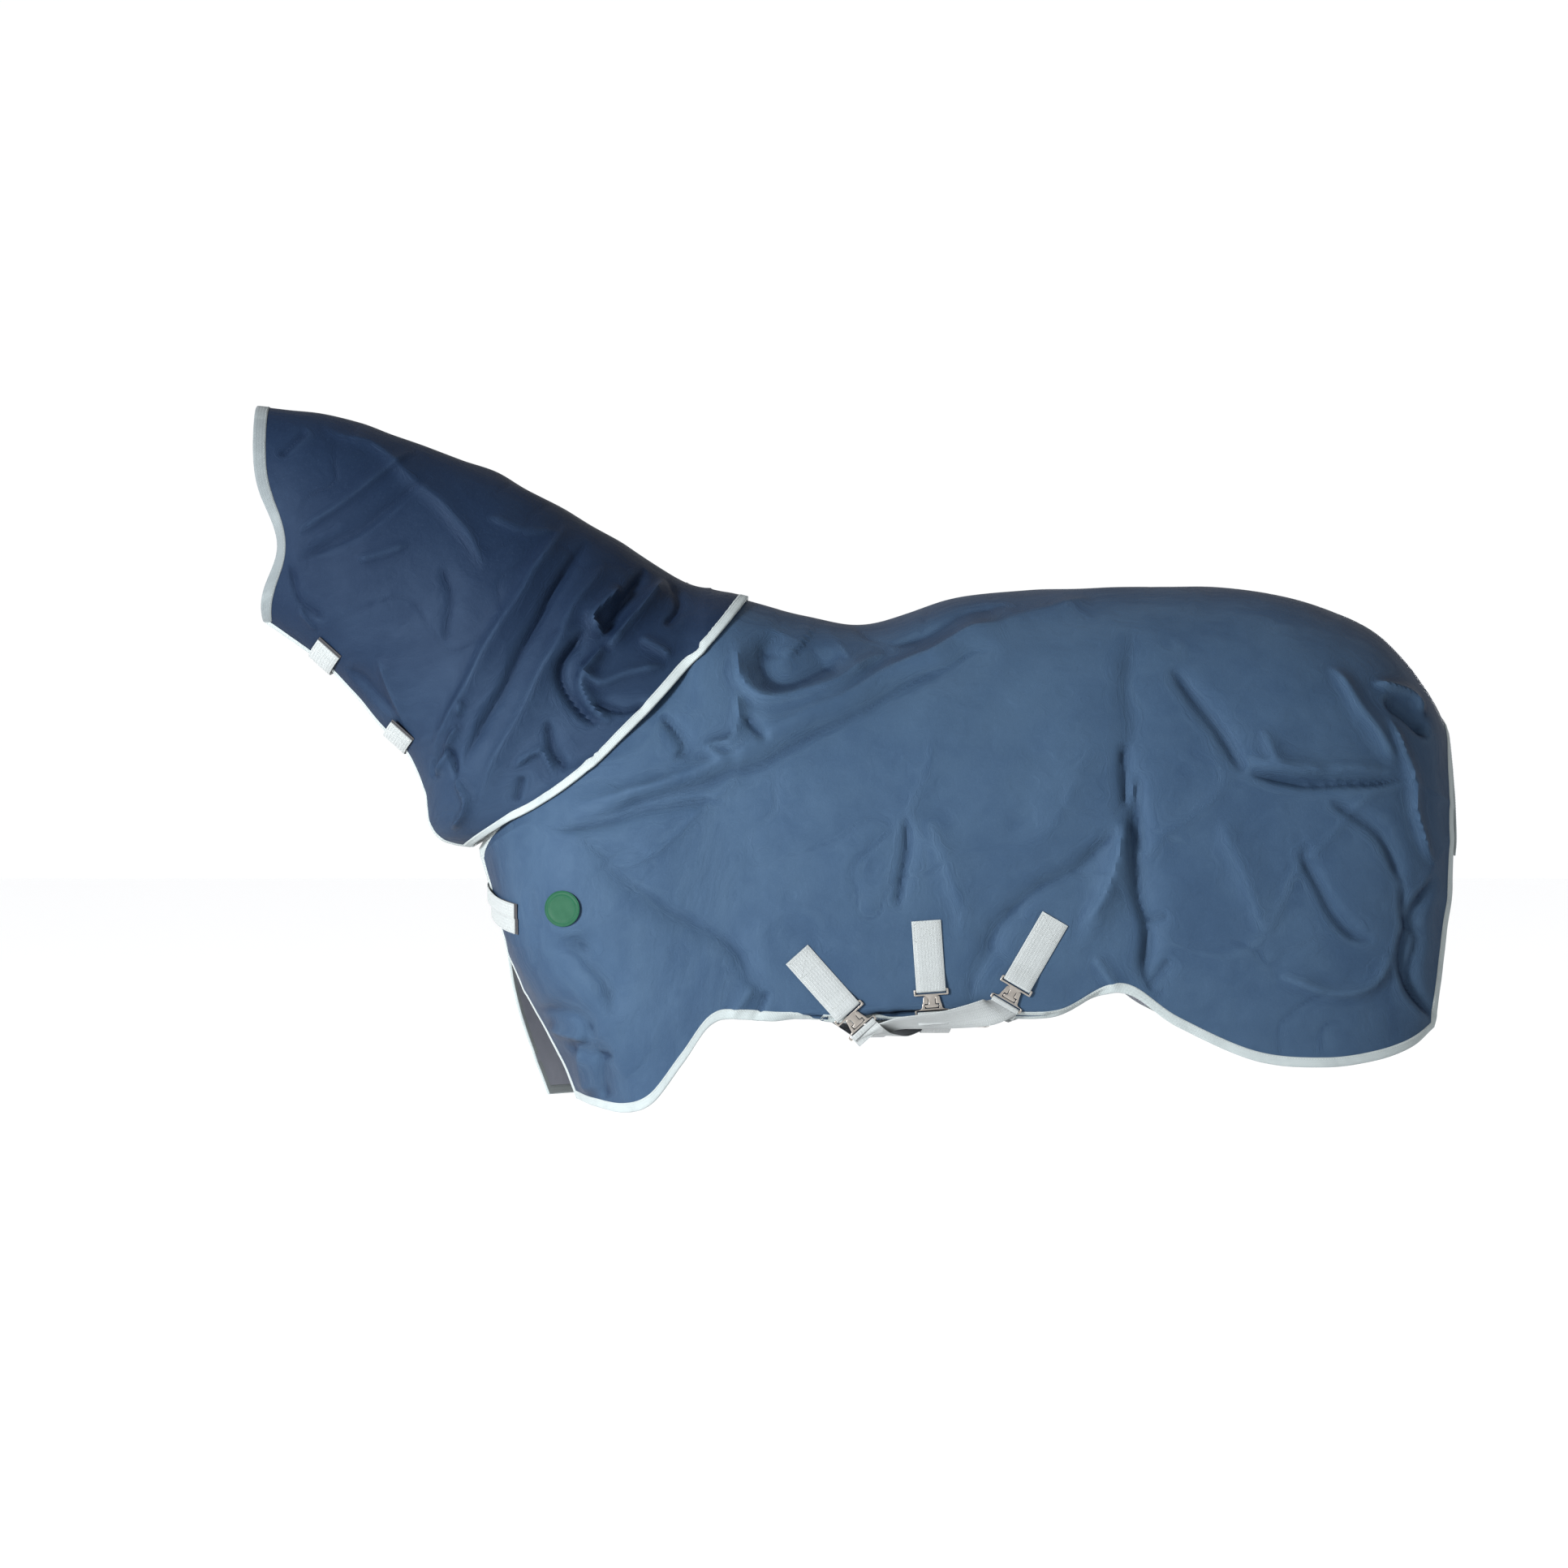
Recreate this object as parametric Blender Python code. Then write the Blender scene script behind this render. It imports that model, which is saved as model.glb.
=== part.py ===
# Turnout rug with a neck cover, in the shape it has when worn.
# +X runs towards the tail, +Z up, and the rug's left side is at -Y.
# The origin is on the spine at the withers, where the neck cover's rear hem crosses it.
import math

import bmesh
import bpy
import numpy as np
from mathutils import Vector
from mathutils.bvhtree import BVHTree

# Overall sizes, in metres.
BODY_LENGTH = 1.250  # withers to dock, along X
CHEST_REACH = 0.462  # withers to the front of the chest, along X
DROP = 0.884  # withers to the lowest hem
HALF_WIDTH = 0.334  # centre line to the widest hem
NECK_LENGTH = 0.861  # withers to the poll edge, along X
NECK_RISE = 0.355  # withers to the top of the poll edge

# The pattern below is drafted at this base size and graded to the sizes above.
BASE_LENGTH, BASE_CHEST, BASE_DROP, BASE_WIDTH = 1.250, 0.462, 0.884, 0.334
BASE_NECK_LENGTH, BASE_NECK_RISE = 0.861, 0.355

# Cloth layers and trims.
SHELL = 0.0016
LINING = 0.0010
GAP = 0.0003  # clearance between layers and between pieces that meet
TRIM_GAP = 0.0006  # between a binding and the panel it edges
BINDING_WIDTH = 0.016
BINDING_PROUD = 0.0006
POLL_BINDING_WIDTH = 0.022
HOOD_CLEARANCE = 0.0038  # neck cover's lining to the body shell beneath it
THROAT_SHARE = 0.955  # how far round the neck each half of the cover reaches
CHEEK_NOTCH = 0.040
HEM_BOW = 0.036  # how far the cover's rear hem bows out over the shoulder
BOW_X, BOW_Z = 0.69, -0.72  # the way it bows
BOW_SECTION = 4.5  # the section from which the cover bows

# Webbing, closures and fittings.
WEBBING_WIDTH = 0.050
WEBBING = 0.0016
STRAP_SEAT = 0.0007  # webbing to the cloth it is sewn on
CLOSURE_WIDTH = 0.036
CLOSURE_SEAT = 0.0024
TAPE = 0.0009
TAPE_SEAT = 0.0008
PATCH_SIDE = 0.080
PATCH = 0.0012
PATCH_SEAT = 0.0017  # a belly strap's sewn end to the cloth, with its patch between
HEM_CLEAR = 0.738  # withers to just below the hem where the belly straps pass it
BADGE_RADIUS = 0.031
BADGE_SEAT = 0.0022
BADGE_THICKNESS = 0.0018
METAL = 0.0025
METAL_SEAT = 0.0024
FITTING_WIDTH = 0.059
BAR = 0.003  # width of a clip's webbing bar
SLOT = 0.005  # the slot that webbing passes through
HOOK_CLEARANCE = 0.001
NECK_HALF = 0.006  # half the width of the hook's neck
HEAD_HALF = 0.011
HEAD_LENGTH = 0.006
TAIL_FLAP_LENGTH = 0.235
TAIL_FLAP_HALF = 0.098
BELLY_DEPTH = 0.756  # withers to the first belly strap under the belly
SLIDE_Y = 0.150  # how far to the right a belly strap's slide adjuster lies
BELLY_LAYER = 0.006  # each belly strap passes this much under the one before

# Ribs of a side panel from the chest to the dock: where each starts (neckline or spine), how far
# round the top it starts in degrees, its widest point and its hem.
RIBS = (
    ((-0.462, 0.018, -0.432), 20, (-0.428, 0.030, -0.560), (-0.339, 0.050, -0.875)),
    ((-0.430, 0.100, -0.392), 35, (-0.392, 0.165, -0.600), (-0.290, 0.165, -0.880)),
    ((-0.355, 0.172, -0.318), 45, (-0.325, 0.248, -0.585), (-0.213, 0.245, -0.884)),
    ((-0.275, 0.196, -0.238), 45, (-0.245, 0.283, -0.560), (-0.150, 0.285, -0.864)),
    ((-0.180, 0.165, -0.140), 35, (-0.160, 0.298, -0.520), (-0.095, 0.304, -0.795)),
    ((-0.108, 0.090, -0.045), 15, (-0.070, 0.300, -0.480), (-0.045, 0.312, -0.727)),
    ((-0.060, 0.000, 0.024), 0, (0.000, 0.302, -0.455), (0.010, 0.317, -0.718)),
    ((0.110, 0.000, -0.014), 0, (0.130, 0.315, -0.430), (0.130, 0.328, -0.728)),
    ((0.226, 0.000, -0.030), 0, (0.250, 0.325, -0.420), (0.260, 0.334, -0.733)),
    ((0.374, 0.000, 0.010), 0, (0.390, 0.325, -0.410), (0.400, 0.334, -0.722)),
    ((0.537, 0.000, 0.028), 0, (0.540, 0.322, -0.400), (0.540, 0.332, -0.721)),
    ((0.700, 0.000, 0.037), 0, (0.675, 0.318, -0.410), (0.650, 0.328, -0.672)),
    ((0.841, 0.000, 0.033), 0, (0.800, 0.318, -0.420), (0.748, 0.326, -0.730)),
    ((0.960, 0.000, 0.020), 0, (0.920, 0.316, -0.440), (0.880, 0.324, -0.788)),
    ((1.060, 0.000, -0.013), 0, (1.030, 0.306, -0.460), (1.000, 0.314, -0.800)),
    ((1.141, 0.000, -0.054), 0, (1.120, 0.282, -0.480), (1.095, 0.292, -0.789)),
    ((1.210, 0.000, -0.132), 0, (1.190, 0.245, -0.500), (1.160, 0.260, -0.768)),
    ((1.250, 0.000, -0.207), 0, (1.240, 0.190, -0.520), (1.202, 0.222, -0.738)),
)
SPINE_RIB = 6  # the first rib that starts on the spine
QUARTER = 0.6  # share of a rib from its start to its widest point

# Sections of the neck cover from the poll to its rear hem: crest x, z, throat x, z, half width.
SECTIONS = (
    (-0.861, 0.355, -0.850, -0.030, 0.095),
    (-0.757, 0.344, -0.790, -0.070, 0.110),
    (-0.655, 0.319, -0.724, -0.122, 0.120),
    (-0.538, 0.277, -0.642, -0.216, 0.134),
    (-0.423, 0.231, -0.592, -0.268, 0.152),
    (-0.316, 0.174, -0.563, -0.335, 0.172),
    (-0.215, 0.117, -0.548, -0.392, 0.192),
    (-0.131, 0.058, -0.520, -0.418, 0.208),
    (-0.062, 0.032, -0.488, -0.428, 0.220),
    (0.002, 0.006, -0.456, -0.432, 0.232),
)

# Surcingles on the left side: top and bottom of the short strap (x, z), and where the belly strap
# is sewn on the right side (x).
SURCINGLES = (
    ("front", (0.100, -0.608), (0.185, -0.703), 0.500),
    ("middle", (0.320, -0.550), (0.328, -0.666), 0.330),
    ("rear", (0.540, -0.547), (0.476, -0.656), 0.180),
)
BELLY_TOP = -0.600  # height of the belly straps' sewn ends
CHEST_CLOSURES = (("upper", -0.521), ("lower", -0.561))
CHEST_CENTRE = -0.250  # x that the chest closures wrap round
CHEST_WRAP = math.radians(38)  # how far they reach to each side
NECK_CLOSURES = (("upper", (-0.742, -0.096)), ("lower", (-0.610, -0.239)))
NECK_WRAP = math.radians(66)
THROAT_SLOPE = math.radians(42)
THROAT_INSET = 0.055  # from the throat in to the line that the neck closures wrap round
CLOSURE_MARKS = 15  # steps round a closure, of which a tape covers the last few
TAPE_MARKS = 4
TAPE_INSET = 0.002  # how much narrower a closure's tape is than its strap
BADGE_CENTRE = (-0.303, -0.532)
TAB_X = -0.034
TAB_WIDTH = 0.026
TAB_DEPTH = 0.30  # from the withers down to the line that the tabs wrap round
TAB_START, TAB_END = math.radians(6), math.radians(14)
PLATE_LEAD = 0.010  # how far a belly strap runs straight on from its plate
BELLY_BEND = 0.022  # radius of the first belly strap's turn under the hem

MATERIALS = {
    "shell_fabric": ((0.090, 0.150, 0.260), 0.0, 0.75),
    "lining_fabric": ((0.62, 0.62, 0.68), 0.0, 0.80),
    "binding_fabric": ((0.76, 0.80, 0.79), 0.0, 0.70),
    "webbing": ((0.80, 0.82, 0.82), 0.0, 0.65),
    "touch_tape": ((0.02, 0.02, 0.022), 0.0, 0.90),
    "nickel": ((0.70, 0.66, 0.60), 1.0, 0.28),
    "badge_rubber": ((0.020, 0.245, 0.120), 0.0, 0.45),
}


def clear_scene():
    for obj in list(bpy.data.objects):
        bpy.data.objects.remove(obj, do_unlink=True)


def make_materials():
    made = {}
    for name, (colour, metallic, roughness) in MATERIALS.items():
        material = bpy.data.materials.new(name)
        material.use_nodes = True
        shader = material.node_tree.nodes["Principled BSDF"]
        shader.inputs["Base Color"].default_value = (*colour, 1)
        shader.inputs["Metallic"].default_value = metallic
        shader.inputs["Roughness"].default_value = roughness
        made[name] = material
    return made


def grade(x, y, z):
    """A pattern point of the body at the wanted size."""
    reach = BODY_LENGTH / BASE_LENGTH if x > 0 else CHEST_REACH / BASE_CHEST
    return x * reach, y * HALF_WIDTH / BASE_WIDTH, z * DROP / BASE_DROP


def grade_neck(x, z, forward):
    """A pattern point of the neck cover: forward is 0 at its rear hem and 1 at the poll."""
    at_hem = grade(x, 0, z)
    rise = NECK_RISE / BASE_NECK_RISE if z > 0 else DROP / BASE_DROP
    at_poll = (x * NECK_LENGTH / BASE_NECK_LENGTH, 0, z * rise)
    return tuple(h + (p - h) * forward for h, p in zip(at_hem, at_poll))


def eased(t, low, high):
    """0 below low, 1 above high, and smooth between."""
    share = min(max((t - low) / (high - low), 0.0), 1.0)
    return share * share * (3 - 2 * share)


def smooth(rows, t):
    """A smooth curve through rows of numbers, which stand at whole values of t."""
    k = int(min(max(math.floor(t), 0), len(rows) - 2))
    f = t - k
    p1, p2 = rows[k], rows[k + 1]
    p0 = rows[k - 1] if k > 0 else 2 * p1 - p2
    p3 = rows[k + 2] if k + 2 < len(rows) else 2 * p2 - p1
    bend = (2 * p0 - 5 * p1 + 4 * p2 - p3) * f * f + (3 * p1 - p0 - 3 * p2 + p3) * f**3
    return 0.5 * (2 * p1 + (p2 - p0) * f + bend)


def rib_rows():
    return [np.array((*grade(*s), math.radians(a), *grade(*w), *grade(*h))) for s, a, w, h in RIBS]


def section_rows():
    rows = []
    for i, (cx, cz, tx, tz, half) in enumerate(SECTIONS):
        forward = 1 - i / (len(SECTIONS) - 1)
        crest, throat = grade_neck(cx, cz, forward), grade_neck(tx, tz, forward)
        rows.append(np.array((crest[0], crest[2], throat[0], throat[2], half * HALF_WIDTH / BASE_WIDTH)))
    return rows


def body_point(rows, u, v):
    """The outer face of a side panel: u counts ribs from the chest, v runs from spine to hem."""
    row = smooth(rows, u)
    start, angle, wide, hem = row[0:3], max(row[3], 0.0), row[4:7], row[7:10]
    start[1] = max(start[1], 0.0)
    if v >= QUARTER:
        t = (v - QUARTER) / (1 - QUARTER)
        x, y, z = wide + (hem - wide) * (t, eased(v, QUARTER, 1), t)
    else:
        turn = angle + (math.pi / 2 - angle) * v / QUARTER
        across = (math.sin(turn) - math.sin(angle)) / (1 - math.sin(angle))
        down = 1 - math.cos(turn) / math.cos(angle)
        x, y, z = start + (wide - start) * (down, across, down)
    return np.array((x, y + GAP / 2, z))


def neck_point(rows, u, v):
    """The outer face of the neck cover: u counts sections from the poll, v runs from crest to throat."""
    crest_x, crest_z, throat_x, throat_z, half = smooth(rows, u)
    turn = math.pi * v * THROAT_SHARE
    down = (1 - math.cos(turn)) / 2
    notch = CHEEK_NOTCH * math.exp(-(((v - 0.62) / 0.14) ** 2)) * max(0.0, 1 - u)
    rear = eased(u, BOW_SECTION, len(SECTIONS) - 1)
    bow = HEM_BOW * rear * math.sin(math.pi * down)
    x = crest_x + (throat_x - crest_x) * down + notch + BOW_X * bow
    z = crest_z + (throat_z - crest_z) * down + BOW_Z * bow
    return np.array((x, half * math.sin(turn) + GAP / 2, z))


def face_normal(surface, u, v, u_end):
    """The outward direction of a surface, from its slopes at u, v."""
    step = 1e-3
    low_u, high_u = max(u - step, 0), min(u + step, u_end)
    low_v, high_v = max(v - step, 0), min(v + step, 1)
    along = surface(high_u, v) - surface(low_u, v)
    down = surface(u, high_v) - surface(u, low_v)
    normal = np.cross(along, down)
    if surface(u, v)[1] < 0.001:
        normal[1] = 0
    return normal / np.linalg.norm(normal)


def edge_lines(count, low_trim, high_trim):
    """Grid lines from 0 to 1 with a trim and a gap line at the ends that have one."""
    lines = [0.0]
    if low_trim:
        lines += [low_trim, low_trim * (1 + TRIM_GAP / BINDING_WIDTH)]
    stop = 1 - high_trim * (1 + TRIM_GAP / BINDING_WIDTH) if high_trim else 1.0
    inner = np.linspace(lines[-1], stop, count + 1)[1:]
    lines += list(inner)
    if high_trim:
        lines += [1 - high_trim, 1.0]
    return lines


def surface_length(surface, u, v, along_u, u_end):
    """Length of a surface's line through u, v, along u or along v."""
    steps = [k / 24 for k in range(25)]
    line = [surface(k * u_end, v) if along_u else surface(u, k) for k in steps]
    return sum(np.linalg.norm(b - a) for a, b in zip(line, line[1:]))


def closed_cells(chosen, corner):
    """A closed slab of the chosen grid cells: corner(i, j, low) gives its upper and lower points."""
    verts, faces, index = [], [], {}

    def vertex(i, j, low):
        if (i, j, low) not in index:
            index[i, j, low] = len(verts)
            verts.append(corner(i, j, low))
        return index[i, j, low]

    for i, j in sorted(chosen):
        ring = ((i, j), (i + 1, j), (i + 1, j + 1), (i, j + 1))
        faces.append([vertex(*c, False) for c in ring])
        faces.append([vertex(*c, True) for c in reversed(ring)])
        beside = ((i, j - 1), (i + 1, j), (i, j + 1), (i - 1, j))
        for k, cell in enumerate(beside):
            if cell not in chosen:
                a, b = ring[k], ring[(k + 1) % 4]
                faces.append([vertex(*a, False), vertex(*a, True), vertex(*b, True), vertex(*b, False)])
    return verts, faces


class Sheet:
    """A curved sheet as a grid of points and outward normals, with trimmed edges."""

    def __init__(self, surface, u_end, marks, rows, trims, push=None):
        self.points, self.normals = [], []
        low_u, high_u, low_v, high_v = trims
        for i, u in enumerate(marks):
            rib = surface_length(surface, min(max(u, 0), u_end), 0, False, u_end)
            column = []
            for v in edge_lines(rows, low_v / rib, high_v / rib):
                line = surface_length(surface, 0, min(v, 0.98), True, u_end)
                column.append((self.place(i, marks, u, line, low_u, high_u, u_end), v))
            self.points.append([surface(a, b) for a, b in column])
            self.normals.append([face_normal(surface, a, b, u_end) for a, b in column])
        if push:
            push(self)

    def place(self, i, marks, u, line, low, high, u_end):
        """The first and last three grid lines keep the trim's real width."""
        per_metre = u_end / line
        at_start = {1: low, 2: low + TRIM_GAP}
        at_end = {len(marks) - 2: high, len(marks) - 3: high + TRIM_GAP}
        if low and i in at_start:
            return at_start[i] * per_metre
        if high and i in at_end:
            return u_end - at_end[i] * per_metre
        return u

    def solid(self, chosen, out, depth, side):
        """Points and faces of the chosen cells, from out above the sheet to depth below it."""

        def corner(i, j, low):
            x, y, z = self.points[i][j] + self.normals[i][j] * (-depth if low else out)
            return x, max(y, GAP / 2) * side, z

        return closed_cells(set(chosen), corner)

    def cells(self):
        return [(i, j) for i in range(len(self.points) - 1) for j in range(len(self.points[0]) - 1)]


def add_object(name, verts, faces, material, origin=(0, 0, 0)):
    """An object with its origin on its joint, or at the rug's own origin."""
    mesh = bpy.data.meshes.new(name)
    work = bmesh.new()
    made = [work.verts.new(Vector(v) - Vector(origin)) for v in verts]
    for face in faces:
        work.faces.new([made[k] for k in face])
    bmesh.ops.recalc_face_normals(work, faces=work.faces)
    if work.calc_volume(signed=True) < 0:
        bmesh.ops.reverse_faces(work, faces=work.faces)
    bmesh.ops.triangulate(work, faces=work.faces)
    work.to_mesh(mesh)
    work.free()
    mesh.materials.append(material)
    mesh.shade_smooth()
    mesh.set_sharp_from_angle(angle=math.radians(35))
    obj = bpy.data.objects.new(name, mesh)
    obj.location = origin
    bpy.context.scene.collection.objects.link(obj)
    return obj


def tree_of(pieces):
    verts, faces = [], []
    for piece_verts, piece_faces in pieces:
        faces += [[k + len(verts) for k in face] for face in piece_faces]
        verts += [Vector(v) for v in piece_verts]
    return BVHTree.FromPolygons(verts, faces)


def body_sheet():
    rows = rib_rows()
    last = len(RIBS) - 1
    marks = [0, 0.05, 0.06, *range(1, SPINE_RIB + 1), SPINE_RIB + 0.004, *range(SPINE_RIB + 1, last)]
    marks += [last - 0.06, last - 0.05, last]
    trims = (BINDING_WIDTH, BINDING_WIDTH, BINDING_WIDTH, BINDING_WIDTH)
    return Sheet(lambda u, v: body_point(rows, u, v), last, marks, 7, trims)


def body_cells(sheet):
    """The panel's cells and its binding's: the binding rings the panel except along the spine."""
    columns, rows = len(sheet.points) - 1, len(sheet.points[0]) - 1
    spine = SPINE_RIB + 2  # the narrow column of cells where the neckline meets the spine
    panel, binding = [], []
    for i, j in sheet.cells():
        if i in (0, columns - 1) or j == rows - 1 or (j == 0 and i < spine):
            binding.append((i, j))
        elif i not in (1, columns - 2) and j != rows - 2 and (j > 1 or i > spine):
            panel.append((i, j))
    return panel, binding


def neck_sheet(body_tree):
    rows = section_rows()
    last = len(SECTIONS) - 1
    marks = [0, 0.05, 0.06, *range(1, last), last - 0.5, last - 0.06, last - 0.05, last]

    def push(sheet):
        seat_on(sheet, body_tree, SHELL + GAP + LINING + HOOD_CLEARANCE)

    trims = (POLL_BINDING_WIDTH, BINDING_WIDTH, 0, BINDING_WIDTH)
    return Sheet(lambda u, v: neck_point(rows, u, v), last, marks, 9, trims, push)


def seat_on(sheet, tree, stack):
    """Moves a sheet out until every cell of it clears the shell beneath it by stack."""
    columns, rows = len(sheet.points), len(sheet.points[0])
    middles = [(column[0] + column[-1]) / 2 * (1, 0, 1) for column in sheet.points]
    for _ in range(3):
        push = np.zeros((columns, rows))
        for i, j in sheet.cells():
            need = cell_shortfall(sheet, tree, stack, middles, i, j)
            push[i : i + 2, j : j + 2] = np.maximum(push[i : i + 2, j : j + 2], need)
        for i, j in np.ndindex(columns, rows):
            away = sheet.points[i][j] - middles[i]
            near = push[max(i - 1, 0) : i + 2, max(j - 1, 0) : j + 2]
            amount = max(push[i, j], near.mean())
            sheet.points[i][j] = sheet.points[i][j] + away / np.linalg.norm(away) * amount


# places across a cell at which its height over the shell is measured
CELL_PLACES = (
    (0, 0), (0.5, 0), (0, 0.5), (0.5, 0.5), (1, 0.5), (0.5, 1), (1, 1), (0.25, 0.75), (0.75, 0.25),
)


def cell_shortfall(sheet, tree, stack, middles, i, j):
    """How far a cell of the sheet must move out to clear the shell by stack."""
    reach, need = 0.04, 0.0
    corners = [sheet.points[a][b] for a, b in ((i, j), (i + 1, j), (i, j + 1), (i + 1, j + 1))]
    for s, t in CELL_PLACES:
        upper = corners[0] * (1 - s) + corners[1] * s
        lower = corners[2] * (1 - s) + corners[3] * s
        point = upper * (1 - t) + lower * t
        middle = middles[i] * (1 - s) + middles[i + 1] * s
        away = point - middle
        far = np.linalg.norm(away)
        away /= far
        start = Vector(middle + away * (far + reach))
        hit = tree.ray_cast(start, Vector(-away), reach + stack + 0.002)
        if hit[0] is not None:
            beneath = (hit[0] - Vector(middle)).length
            slope = max(abs(hit[1].dot(Vector(away))), 0.5)
            need = max(need, beneath + stack / slope - far)
    return need


def neck_cells(sheet):
    """The neck panel's cells and its binding's, which rings it except along the crest."""
    columns, rows = len(sheet.points) - 1, len(sheet.points[0]) - 1
    binding = [c for c in sheet.cells() if c[0] in (0, columns - 1) or c[1] == rows - 1]
    gap = [c for c in sheet.cells() if c[0] in (1, columns - 2) or c[1] == rows - 2]
    panel = [c for c in sheet.cells() if c not in binding and c not in gap]
    return panel, binding


def add_layers(sheet, cells, names, materials, origin=(0, 0, 0)):
    """Shell, lining and edge binding of both halves. Returns the outer pieces' geometry."""
    panel, binding = cells
    depth = SHELL + GAP + LINING
    outer = []
    for side, hand in ((-1, "left"), (1, "right")):
        shell = sheet.solid(panel, 0, SHELL, side)
        edge = sheet.solid(binding, BINDING_PROUD, depth + BINDING_PROUD / 2, side)
        below = sheet.solid(panel, -(SHELL + GAP), depth, side)
        add_object(names[0].format(hand), *shell, materials["shell_fabric"], origin)
        add_object(names[1].format(hand), *below, materials["lining_fabric"], origin)
        add_object(names[2].format(hand), *edge, materials["binding_fabric"], origin)
        outer += [shell, edge]
    return outer


def ribbon(left, right, out, thickness):
    """A closed strip between two edge lines, whose outward directions are given."""
    verts, faces = [], []
    for a, b, n in zip(left, right, out):
        step = Vector(n).normalized() * thickness
        verts += [Vector(a), Vector(b), Vector(b) + step, Vector(a) + step]
    for k in range(len(left) - 1):
        for m in range(4):
            first, second = 4 * k + m, 4 * k + (m + 1) % 4
            faces.append([first, second, second + 4, first + 4])
    faces += [[3, 2, 1, 0], [4 * len(left) - 4 + m for m in range(4)]]
    return verts, faces


def side_seat(tree, x, z, side):
    """Y of the cloth's outer face at x, z."""
    hit = tree.ray_cast(Vector((x, side, z)), Vector((0, -side, 0)))
    return hit[0].y if hit[0] is not None else None


def side_ribbon(tree, side, path, width, seat, thickness, end_y=None):
    """A flat strip lying on a side, along a path of x, z points."""
    left, right, out = [], [], []
    for k, (x, z) in enumerate(path):
        ahead, behind = path[min(k + 1, len(path) - 1)], path[max(k - 1, 0)]
        dx, dz = ahead[0] - behind[0], ahead[1] - behind[1]
        length = math.hypot(dx, dz)
        wx, wz = -dz / length * width / 2, dx / length * width / 2
        near = [side_seat(tree, x + s * wx, z + s * wz, side) for s in (-1, 0, 1)]
        y = max(abs(value) for value in near if value is not None) + seat
        if end_y and k == len(path) - 1:
            y = end_y
        left.append((x - wx, side * y, z - wz))
        right.append((x + wx, side * y, z + wz))
        out.append((0, side, 0))
    return ribbon(left, right, out, thickness)


def wrap_ribbon(tree, centre, ahead, across, along, angles, width, seat, thickness):
    """A strip wrapped round a rounded front, from one angle to another as seen from centre."""
    starts = [Vector(centre) + Vector(along) * offset * width for offset in (-0.5, 0, 0.5)]
    out, reach = [], []
    for angle in angles:
        ray = Vector(ahead) * math.cos(angle) + Vector(across) * math.sin(angle)
        hits = [(start, tree.ray_cast(start + ray * 0.6, -ray, 0.6)[0]) for start in starts]
        known = [(hit - start).length for start, hit in hits if hit is not None]
        out.append(ray)
        reach.append(max(known) if known else None)
    reach = fill_gaps(reach)
    left = [starts[0] + ray * (r + seat) for ray, r in zip(out, reach)]
    right = [starts[-1] + ray * (r + seat) for ray, r in zip(out, reach)]
    return ribbon(left, right, out, thickness)


def fill_gaps(values):
    """Values with the missing ones taken from their neighbours."""
    known = [k for k, value in enumerate(values) if value is not None]
    return [float(np.interp(k, known, [values[m] for m in known])) for k in range(len(values))]


def spread(low, high, count):
    return [low + (high - low) * k / (count - 1) for k in range(count)]


def add_badge(tree, material):
    x, _, z = grade(BADGE_CENTRE[0], 0, BADGE_CENTRE[1])
    rings, spokes = 2, 20
    places = [(x, z)]
    for ring in range(1, rings + 1):
        for k in range(spokes):
            turn = 2 * math.pi * k / spokes
            r = BADGE_RADIUS * ring / rings
            places.append((x + r * math.cos(turn), z + r * math.sin(turn)))
    inner = [Vector((a, side_seat(tree, a, b, -1) - BADGE_SEAT, b)) for a, b in places]
    outer = [point - Vector((0, BADGE_THICKNESS, 0)) for point in inner]
    faces = []
    for base, flip in ((0, False), (len(inner), True)):
        for k in range(spokes):
            after = (k + 1) % spokes
            cap = [base, base + 1 + k, base + 1 + after]
            band = [base + 1 + k, base + 1 + spokes + k, base + 1 + spokes + after, base + 1 + after]
            faces += [cap[::-1] if flip else cap, band[::-1] if flip else band]
    rim = [1 + spokes + k for k in range(spokes)]
    for k in range(spokes):
        a, b = rim[k], rim[(k + 1) % spokes]
        faces.append([a, a + len(inner), b + len(inner), b])
    add_object("badge", inner + outer, faces, material)


def flat_fitting(frame, down_lines, cross_lines, chosen):
    """A flat metal fitting cut out of a grid: down_lines along the strap, cross_lines over it."""
    origin, down, cross, out = frame

    def corner(i, j, low):
        return origin + down * down_lines[i] + cross * cross_lines[j] + out * (0 if low else METAL)

    return closed_cells(chosen, corner)


def hook_reach():
    """Distances along a surcingle from the top of the clip: neck, head and end of the head."""
    neck = 2 * BAR + SLOT
    head = neck + HOOK_CLEARANCE + SLOT + 3 * BAR
    return neck, head, head + HEAD_LENGTH


def clip_geometry(frame):
    """Webbing bar, slot and a hook with a neck and a wide head."""
    half = FITTING_WIDTH / 2
    neck, head, end = hook_reach()
    down = (0, BAR, BAR + SLOT, neck, head, end)
    cross = (-half, -half + BAR, -HEAD_HALF, -NECK_HALF, NECK_HALF, HEAD_HALF, half - BAR, half)
    chosen = {(i, j) for i in (0, 2) for j in range(7)} | {(1, 0), (1, 6), (3, 3)}
    chosen |= {(4, j) for j in (2, 3, 4)}
    return flat_fitting(frame, down, cross, chosen)


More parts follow.
